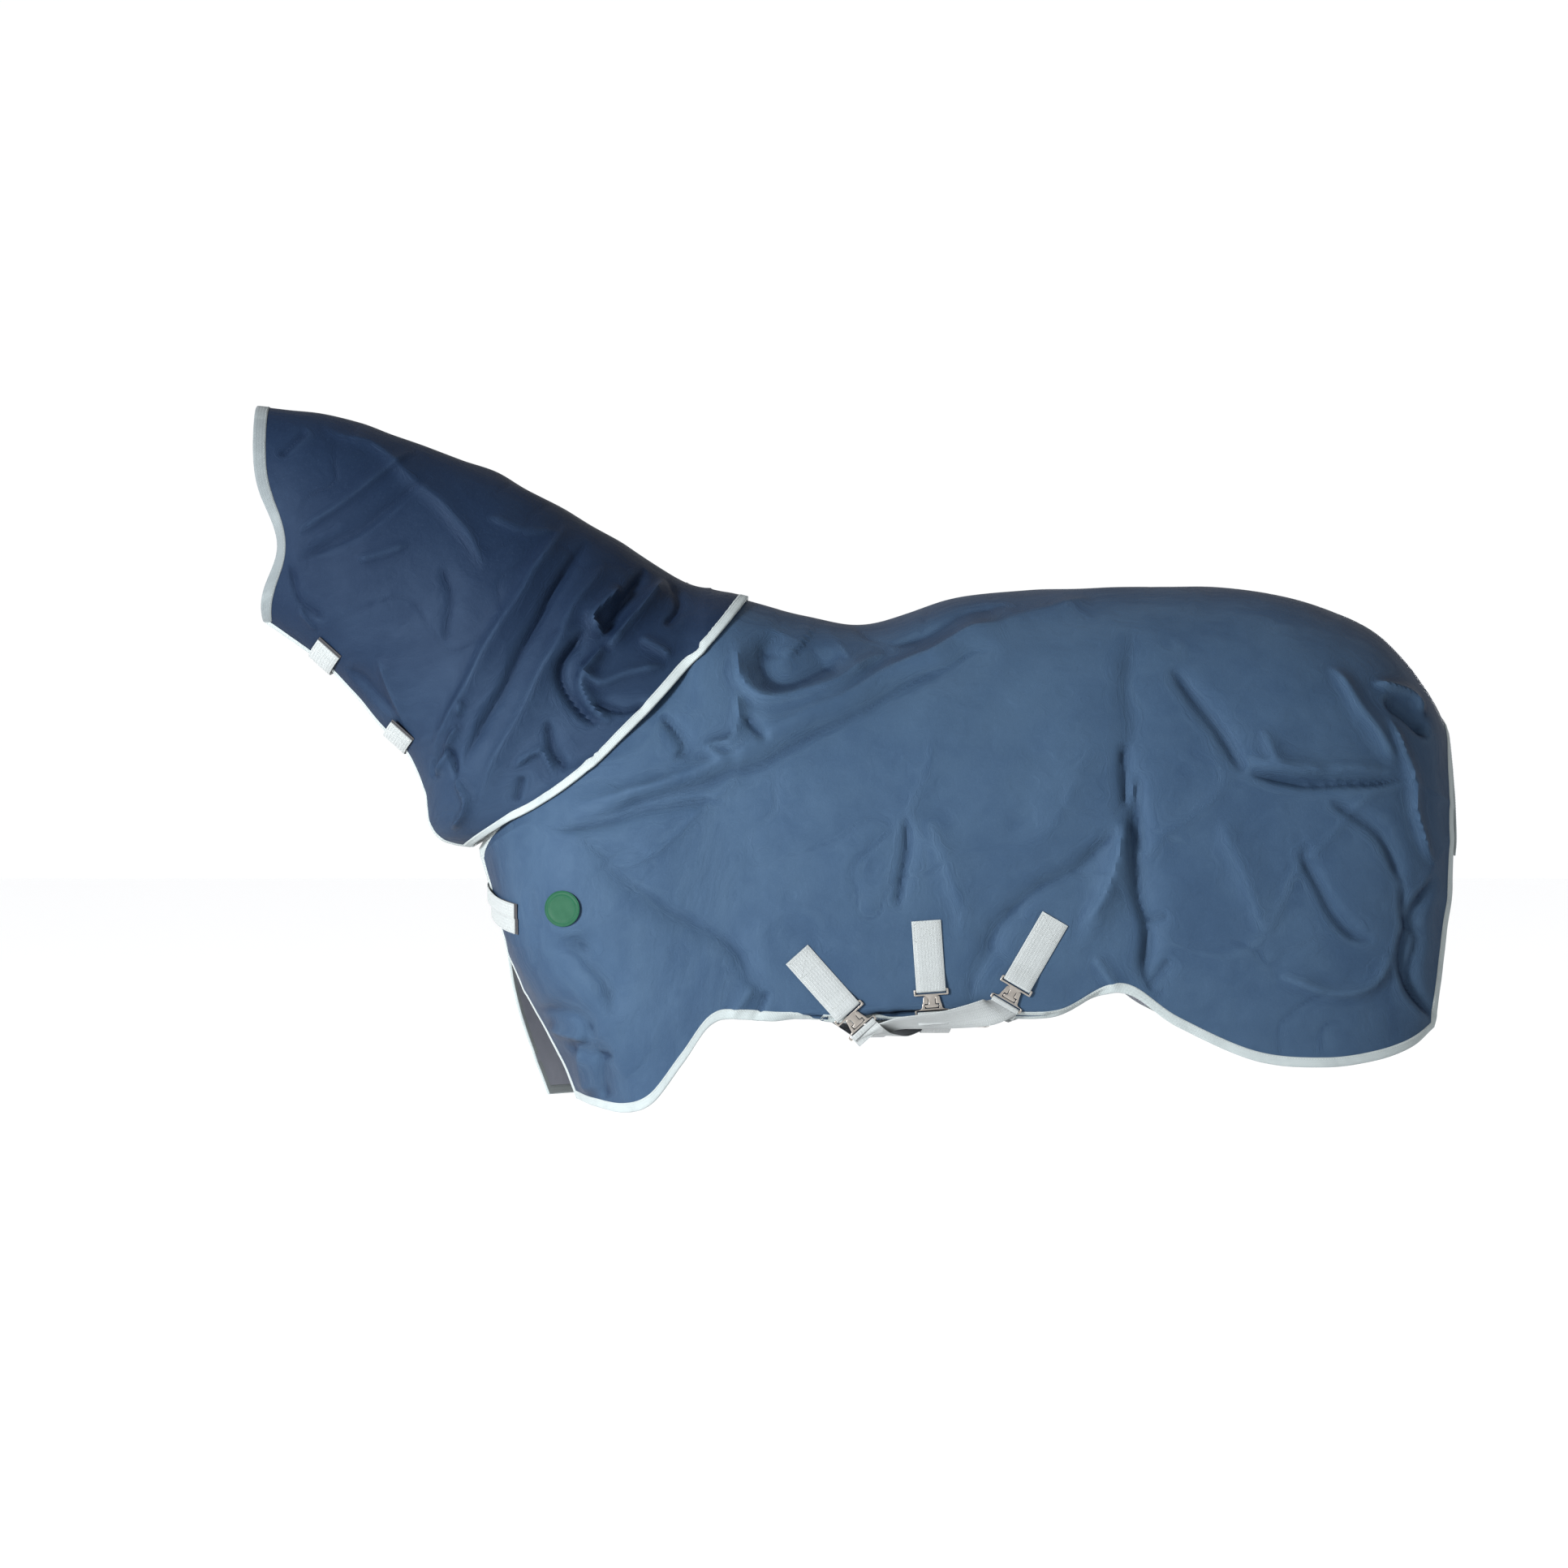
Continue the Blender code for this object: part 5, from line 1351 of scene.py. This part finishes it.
def fittingPiece(name, node, body, origin, down, cross, out, outline, holes):
    work = bmesh.new()
    edges = []
    for ring in (outline, *holes):
        verts = [work.verts.new(Vector(origin + (down * d + cross * c) / 1000)) for d, c in ring]
        edges += [work.edges.new((verts[k - 1], verts[k])) for k in range(len(verts))]
    bmesh.ops.triangle_fill(work, use_beauty=True, use_dissolve=False, edges=edges)
    bmesh.ops.dissolve_limit(work, angle_limit=0.02, verts=work.verts, edges=work.edges)
    grown = bmesh.ops.extrude_face_region(work, geom=list(work.faces))
    moved = [v for v in grown["geom"] if isinstance(v, bmesh.types.BMVert)]
    bmesh.ops.translate(work, verts=moved, vec=Vector(out * fittings["thick"]))
    bmesh.ops.recalc_face_normals(work, faces=work.faces)
    rim = [e for e in work.edges if len(e.link_faces) == 2 and e.calc_face_angle(0) > 1.2]
    bmesh.ops.bevel(work, geom=rim, offset=fittings["bevel"], segments=3, profile=0.6, affect="EDGES", clamp_overlap=True)
    bmesh.ops.triangulate(work, faces=work.faces)
    mesh = bpy.data.meshes.new(name)
    work.to_mesh(mesh)
    work.free()
    mesh.materials.append(nickel)
    mesh.shade_smooth()
    mesh.set_sharp_from_angle(angle=math.radians(40))
    obj = bpy.data.objects.new(name, mesh)
    bpy.context.scene.collection.objects.link(obj)
    return keep(obj, body, [node])


def barLoop(name, barCentre, away, across3, out3, width):
    # webbing turned round a fitting's bar, with both layers leading back from it
    turn = np.linspace(math.radians(90), math.radians(-90), 12)
    lead = [barCentre - away * d + out3 * 0.0015 for d in (0.005, 0.003, 0.001)]
    loop = [barCentre + away * (0.0006 + 0.0022 * math.cos(a)) + out3 * 0.0015 * math.sin(a) for a in turn]
    tail = [barCentre - away * d - out3 * 0.0016 for d in (0.003, 0.008, 0.014, 0.018)]
    outs = [out3] * 3 + [away * math.cos(a) + out3 * math.sin(a) for a in turn] + [-out3] * 4
    band = Band(lead + loop + tail, [across3] * 19, outs, width, 0.0012)
    return keep(band.piece(name, webbing), "rug_body")


surcingles = {
    "width": 0.050,
    "thick": 0.0016,
    "seat": 0.0007,
    # top and bottom of the short strap (x, z), and where the belly strap is sewn on the right (x)
    "front": ((0.100, -0.608), (0.185, -0.703), 0.500),
    "middle": ((0.320, -0.550), (0.328, -0.666), 0.330),
    "rear": ((0.540, -0.547), (0.476, -0.656), 0.180),
    "boxLength": 0.036,
    "bellyTop": -0.600,
    "bellyDepth": 0.744,
    "layer": 0.005,
    # how each belly strap leaves its plate and turns under the hem: x, distance out, z, and degrees turned
    "leads": {
        "front": ((0.2245, 0.3350, -0.7425, 30), (0.2365, 0.3190, -0.7450, 66), (0.2520, 0.2940, -0.7460, 88),
                  (0.2700, 0.2580, -0.7490, 90)),
        "middle": ((0.3320, 0.3370, -0.7110, 30), (0.3330, 0.3220, -0.7165, 66), (0.3350, 0.3050, -0.7200, 82),
                   (0.3390, 0.2800, -0.7260, 90), (0.3420, 0.2500, -0.7340, 90)),
        "rear": ((0.4300, 0.3435, -0.7035, 14), (0.3950, 0.3430, -0.7110, 34), (0.3520, 0.3400, -0.7175, 50),
                 (0.3120, 0.3370, -0.7210, 58), (0.2780, 0.3330, -0.7240, 64), (0.2500, 0.3190, -0.7325, 74),
                 (0.2350, 0.2870, -0.7440, 84), (0.2250, 0.2400, -0.7530, 90)),
    },
    "hemClear": 0.738,
    "patchSide": 0.080,
}


def bellyLine(index, name, farX):
    # from below the plate, down past the hem, under the belly and up the right side to its patch
    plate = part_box(f"surcingle_plate_{name}")
    top, bottom, _ = surcingles[name]
    down = np.array((bottom[0] - top[0], 0, bottom[1] - top[1]))
    down /= np.linalg.norm(down)
    start = np.array((bottom[0], plate[1][1], bottom[1])) + down * 0.047
    depth = -(surcingles["bellyDepth"] + surcingles["layer"] * index)
    hem = -surcingles["hemClear"]
    half = surcingles["patchSide"] / 2
    climb = []
    for z in np.linspace(hem, surcingles["bellyTop"], 9):
        seats = [sideSeat(bodyTree, farX + s * half, z, 1) for s in (-1, -0.5, 0, 0.5, 1)]
        known = [s for s in seats if s is not None]
        climb.append((z, max(known) if known else None))
    farY = max(y for _, y in climb if y is not None) + 0.0030
    corner = 0.022 + 0.004 * index
    marks = [(*start, 0)] + [(x, -y, z, turned) for x, y, z, turned in surcingles["leads"][name]]
    first = marks[-1][1] + 0.07
    rows = [(y, depth, 90) for y in np.linspace(first, farY - 3 * corner, 7)]
    rows += [(farY - corner, depth, 105), (farY - corner * 0.3, depth + corner * 0.3, 145)]
    fromX = marks[-1][0]
    fromY = marks[-1][1]
    for y, z, turned in rows:
        marks.append((fromX + (farX - fromX) * (y - fromY) / (farY - fromY), y, z, turned))
    for z, y in climb:
        marks.append((farX, farY if y is None else y + 0.0030, z, 180))
    return np.array(marks)


def farSideY(x):
    return sideSeat(bodyTree, x, -0.70, 1)


strapThread = Thread()
strapWidth, strapThick = surcingles["width"], surcingles["thick"]
for index, name in enumerate(("front", "middle", "rear")):
    top, bottom, farX = surcingles[name]
    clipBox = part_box(f"surcingle_clip_{name}")
    clipY = -(clipBox[0][1] + clipBox[1][1]) / 2
    down = np.array((bottom[0] - top[0], bottom[1] - top[1]))
    down /= np.linalg.norm(down)
    strapEnd = np.array(bottom) + down * 0.0012
    band = sideBand(bodyTree, -1, (top, strapEnd), strapWidth, strapThick, surcingles["seat"], 0.0025, clipY + 0.0014)
    keep(band.piece(f"surcingle_webbing_{name}", webbing), "rug_body", [f"surcingle_strap_{name}"])
    band.boxStitch(strapThread, 0.004, surcingles["boxLength"])
    band.rowStitch(strapThread, band.gone[-1] - 0.020)
    band.rowStitch(strapThread, band.gone[-1] - 0.017)
    # the turned-under ends that hold the bars of the hook and its keeper
    down3, across3, out3 = np.array((down[0], 0, down[1])), np.array((-down[1], 0, down[0])), np.array((0, -1.0, 0))
    corner = np.array((bottom[0], clipBox[1][1], bottom[1]))
    middle = out3 * fittings["thick"] / 2
    barLoop(f"surcingle_loop_{name}", corner + down3 * 0.0015 + middle, down3, across3, out3, strapWidth)
    barLoop(f"belly_loop_{name}", corner + down3 * 0.0425 + middle, -down3, across3, out3, strapWidth)
    fittingPiece(f"surcingle_hook_{name}", f"surcingle_clip_{name}", f"surcingle_clip_{name}", corner, down3, across3, out3,
                 mirroredOutline(fittings["hook"]), [mirroredOutline(fittings["hookSlot"])])
    inner = list(fittings["keeper"])
    outline = inner + [(d, -c) for d, c in reversed(inner)] + [(25.0, -12.4), (33.0, -12.4), (33.0, 12.4), (25.0, 12.4)]
    outline = [p for k, p in enumerate(outline) if p != outline[k - 1]]
    fittingPiece(f"surcingle_keeper_{name}", f"surcingle_plate_{name}", "rug_body", corner, down3, across3, out3,
                 outline, [mirroredOutline(fittings["keeperSlot"])])
    roundedNode(f"belly_slide_{name}", f"belly_strap_slide_{name}", "rug_body", nickel, 0.0009)
    marks = bellyLine(index, name, farX)
    rows = throughRows(marks, np.linspace(0, len(marks) - 1, 12 * (len(marks) - 1)))
    fine, turned = rows[:, :3], np.radians(rows[:, 3])
    slope = np.gradient(fine, axis=0)
    # the face looks out at the near side, down beneath the belly and out again on the far side
    normal = np.stack([np.zeros(len(fine)), -np.cos(turned), -np.sin(turned)], 1)
    acrossRows = np.cross(normal, slope)
    acrossRows /= np.linalg.norm(acrossRows, axis=1, keepdims=True)
    # it leaves the bar square to it, so its first centimetres lean
    gone = np.concatenate([[0], np.cumsum(np.linalg.norm(np.diff(fine, axis=0), axis=1))])
    held = 1 - smoothstep(gone, 0.0, 0.045)[:, None]
    sign = np.sign(acrossRows[0] @ across3)
    acrossRows = acrossRows * (1 - held) + across3 * sign * held
    normal = np.where(held > 0, normal, np.cross(slope, acrossRows))
    belly = Band(fine, acrossRows, normal, strapWidth, strapThick)
    keep(belly.piece(f"belly_webbing_{name}", webbing), "rug_body", [f"belly_strap_{name}"])
    belly.boxStitch(strapThread, belly.gone[-1] - 0.038, belly.gone[-1] - 0.004)
    belly.rowStitch(strapThread, 0.014)
    belly.rowStitch(strapThread, 0.017)
    patchTop, patchLow = surcingles["bellyTop"] + 0.020, surcingles["bellyTop"] - 0.040
    patch = sideBand(bodyTree, 1, ((farX, patchTop), (farX, patchLow)), surcingles["patchSide"], 0.0012, 0.0006)
    keep(patch.piece(f"belly_patch_{name}", shell), "rug_body", [f"belly_anchor_patch_{name}"])
    f = np.linspace(0, 1, 12)
    h, length = surcingles["patchSide"] / 2 - 0.004, patch.gone[-1]
    for a, b in (((0.004, -h), (length - 0.004, -h)), ((length - 0.004, -h), (length - 0.004, h)),
                 ((length - 0.004, h), (0.004, h)), ((0.004, h), (0.004, -h))):
        points, outs = patch.at(a[0] + (b[0] - a[0]) * f, a[1] + (b[1] - a[1]) * f)
        strapThread.line(points, outs)
print("surcingles buckled")


# ---- chest and throat closures

closures = {
    "chestHeights": {"upper": -0.509, "lower": -0.5355},
    "chestCentre": -0.250,
    "chestWidth": 0.0265,
    "neckPlaces": {"upper": (-0.742, -0.096), "lower": (-0.610, -0.239)},
    "throatSlope": math.radians(42),
    "neckWidth": 0.050,
    "seat": 0.0024,
    "tapeLength": 0.050,
    "chestTilt": math.radians(9),
}


def closureSet(kind, name, tree, frameRows, width, low, high, bodyOfStrap, bodyOfTape, anchorNode, tapeNode):
    thick = surcingles["thick"]
    strap = wrapBand(tree, *frameRows, low, high, width, thick, closures["seat"] + 0.0006)
    keep(strap.piece(f"{kind}_webbing_{name}", webbing), bodyOfStrap, [f"{kind}_strap_{name}"])
    thread = Thread()
    length = strap.gone[-1]
    strap.boxStitch(thread, length - 0.030, length - 0.004)
    strap.boxStitch(thread, 0.004, 0.026)
    stitches = thread.piece(f"{kind}_webbing_thread_{name}", paleThread)
    keep(stitches, bodyOfStrap)
    # hook tape under the free end and loop tape beneath it, both just proud of the webbing
    reach = closures["tapeLength"]
    hookTape = strap.layer(-0.0018, reach, width - 0.001, 0.0008, 0.0009)
    keep(hookTape.piece(f"{kind}_hook_tape_{name}", touchTape), bodyOfStrap)
    loopTape = strap.layer(-0.0058, reach, width + 0.0012, 0.0009, 0.0019)
    keep(loopTape.piece(f"{kind}_loop_tape_{name}", touchTape), bodyOfTape, [tapeNode])
    anchor = strap.layer(length - reach, length + 0.002, width + 0.004, 0.0011, 0.0020)
    keep(anchor.piece(f"{kind}_anchor_{name}", shell), bodyOfTape, [anchorNode])
    return strap


for name, height in closures["chestHeights"].items():
    tilt = closures["chestTilt"]
    across = (0, math.cos(tilt), math.sin(tilt))
    rows = ((closures["chestCentre"], 0, height), (-1, 0, 0), across, (0, -math.sin(tilt), math.cos(tilt)))
    closureSet("chest", name, bodyTree, rows, closures["chestWidth"], -54, 38, f"chest_strap_{name}",
               "rug_body", f"chest_strap_anchor_{name}", f"chest_tape_{name}")
slope = closures["throatSlope"]
throatAlong = (math.cos(slope), 0, -math.sin(slope))
throatAhead = (-math.sin(slope), 0, -math.cos(slope))
for name, (x, z) in closures["neckPlaces"].items():
    rows = (np.array((x, 0, z)) - np.array(throatAhead) * 0.055, throatAhead, (0, 1, 0), throatAlong)
    closureSet("neck", name, coverTree, rows, closures["neckWidth"], -66, 66, f"neck_strap_{name}",
               "neck_cover", f"neck_strap_anchor_{name}", f"neck_strap_tape_{name}")
print("closures fastened")

for _, word in sides:
    roundedNode(f"withers_loop_{word}", f"withers_loop_tape_{word}", "rug_body", touchTape, 0.0003, 2, 60)
    roundedNode(f"withers_hook_{word}", f"withers_hook_tape_{word}", "neck_cover", touchTape, 0.0003, 2, 60)


# ---- badge: a plain moulded disc with a raised rim

badgeSpec = {
    "centre": (-0.303, -0.532),
    "radius": 0.031,
    "spokes": 96,
    # distance out from the middle as a share of the radius, and height over the cloth in mm
    "profile": ((0.30, 2.1), (0.55, 2.1), (0.72, 2.1), (0.76, 2.25), (0.78, 2.5), (0.81, 2.55), (0.84, 2.5), (0.86, 2.25),
                (0.90, 2.15), (0.93, 2.3), (0.955, 2.75), (0.98, 2.8), (0.995, 2.55), (1.0, 2.1), (1.0, 0.9)),
}


def buildBadge():
    cx, cz = badgeSpec["centre"]
    spokes = badgeSpec["spokes"]
    turn = np.linspace(0, 2 * math.pi, spokes, endpoint=False)
    # a plane fitted to the cloth under the disc
    seats = []
    for r in (0.0, 0.015, 0.031):
        for a in turn[::8]:
            x, z = cx + r * math.cos(a), cz + r * math.sin(a)
            seats.append((x, z, -sideSeat(bodyTree, x, z, -1)))
    seats = np.array(seats)
    plane, *_ = np.linalg.lstsq(np.c_[seats[:, :2], np.ones(len(seats))], seats[:, 2], rcond=None)
    low = (seats[:, 2] - np.c_[seats[:, :2], np.ones(len(seats))] @ plane).min()
    seatY = lambda x, z: np.c_[x, z, np.ones(len(x))] @ plane + low * 0.6
    rings = []
    for share, height in badgeSpec["profile"]:
        x, z = cx + badgeSpec["radius"] * share * np.cos(turn), cz + badgeSpec["radius"] * share * np.sin(turn)
        rings.append(np.stack([x, seatY(x, z) - height / 1000, z], 1))
    for share in (0.97, 0.5):
        x, z = cx + badgeSpec["radius"] * share * np.cos(turn), cz + badgeSpec["radius"] * share * np.sin(turn)
        rings.append(np.stack([x, seatY(x, z) - 0.0006, z], 1))
    verts = np.concatenate(rings)
    n = len(rings)
    faces = []
    for k in range(n - 1):
        for m in range(spokes):
            a, b = k * spokes + m, k * spokes + (m + 1) % spokes
            faces.append([a, b, b + spokes, a + spokes])
    faces += [list(range(spokes))[::-1], list(range((n - 1) * spokes, n * spokes))]
    piece = makePiece("badge_disc", verts, faces, badgeRubber, None, 60)
    keep(piece, "rug_body", ["badge"])


buildBadge()
print("badge set")


# ---- tail flap

flapSpec = {
    "length": 0.235,
    "half": 0.098,
    "alongCount": 64,
    "downCount": 70,
    "bindingWidth": 0.013,
    "flatSize": (0.245, 0.240),
    "flatArea": 0.052,
}


def buildTailFlap():
    dockZ, wideY, wideZ = -0.207, 0.190, -0.520
    u = np.linspace(0, 1, flapSpec["alongCount"])[:, None]
    v = np.linspace(0, 1, flapSpec["downCount"])[None, :]
    y = flapSpec["half"] * (2 * u - 1) * (1 + 0.25 * v)
    arch = (dockZ - wideZ) * (1 - np.sqrt(1 - np.minimum(np.abs(y) / wideY, 0.9) ** 2)) * (1 - v)
    out = 0.012 * np.sin(math.pi * v * 0.6) - 0.10 * y * y / wideY
    flutes = 0.0035 * np.cos(y / 0.031 + 0.5) * v + 0.0015 * latticeNoise(y, v * 0.235 + 0 * y, 0.04, 21) * v
    x = 1.25 + 0.0042 + form["shellThickness"] + out + flutes
    z = dockZ - 0.0005 - arch - flapSpec["length"] * v
    points = np.stack([x + 0 * z, y + 0 * z, z], 2)
    cloth = Cloth.__new__(Cloth)
    cloth.hand, cloth.points = 1, points
    normals = gridNormals(points)
    if normals[..., 0].mean() < 0:
        normals = -normals
    cloth.points = points
    cloth.refresh()
    cloth.normals = normals
    # an even amount of painted shade over the whole flap, deeper than the body's base
    tone = np.full(points.shape[:2], 0.35)
    piece = layerPiece("tail_flap_shell", cloth, 0, -form["shellThickness"], shell, 1, tone)
    keep(piece, "tail_flap", ["tail_flap"])
    cloth.hand = 0
    runs = (("front", (0, 1), (False, True)), ("hem", (0, 1), (True, True)), ("rear", (1, 0), (True, False)))
    trim = bindingPiece("tail_flap_trim", cloth, runs, [flapSpec["bindingWidth"]] * 3, binding, form["shellThickness"] + 0.0002)
    keep(trim, "tail_flap", ["tail_flap_binding"])
    thread = Thread()
    for run in runs:
        thread.alongEdge(cloth, run, flapSpec["bindingWidth"] - 0.0026, 0.0013)
    keep(thread.piece("tail_flap_thread", paleThread), "tail_flap")


buildTailFlap()
print("tail flap hung")

keep(bodyThread.piece("rug_thread", paleThread), "rug_body")
keep(neckThread.piece("neck_thread", paleThread), "neck_cover")
keep(strapThread.piece("strap_thread", paleThread), "rug_body")
print("thread sewn")

box = [[list(map(float, corner)) for corner in pair] for pair in (cadBox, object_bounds())]
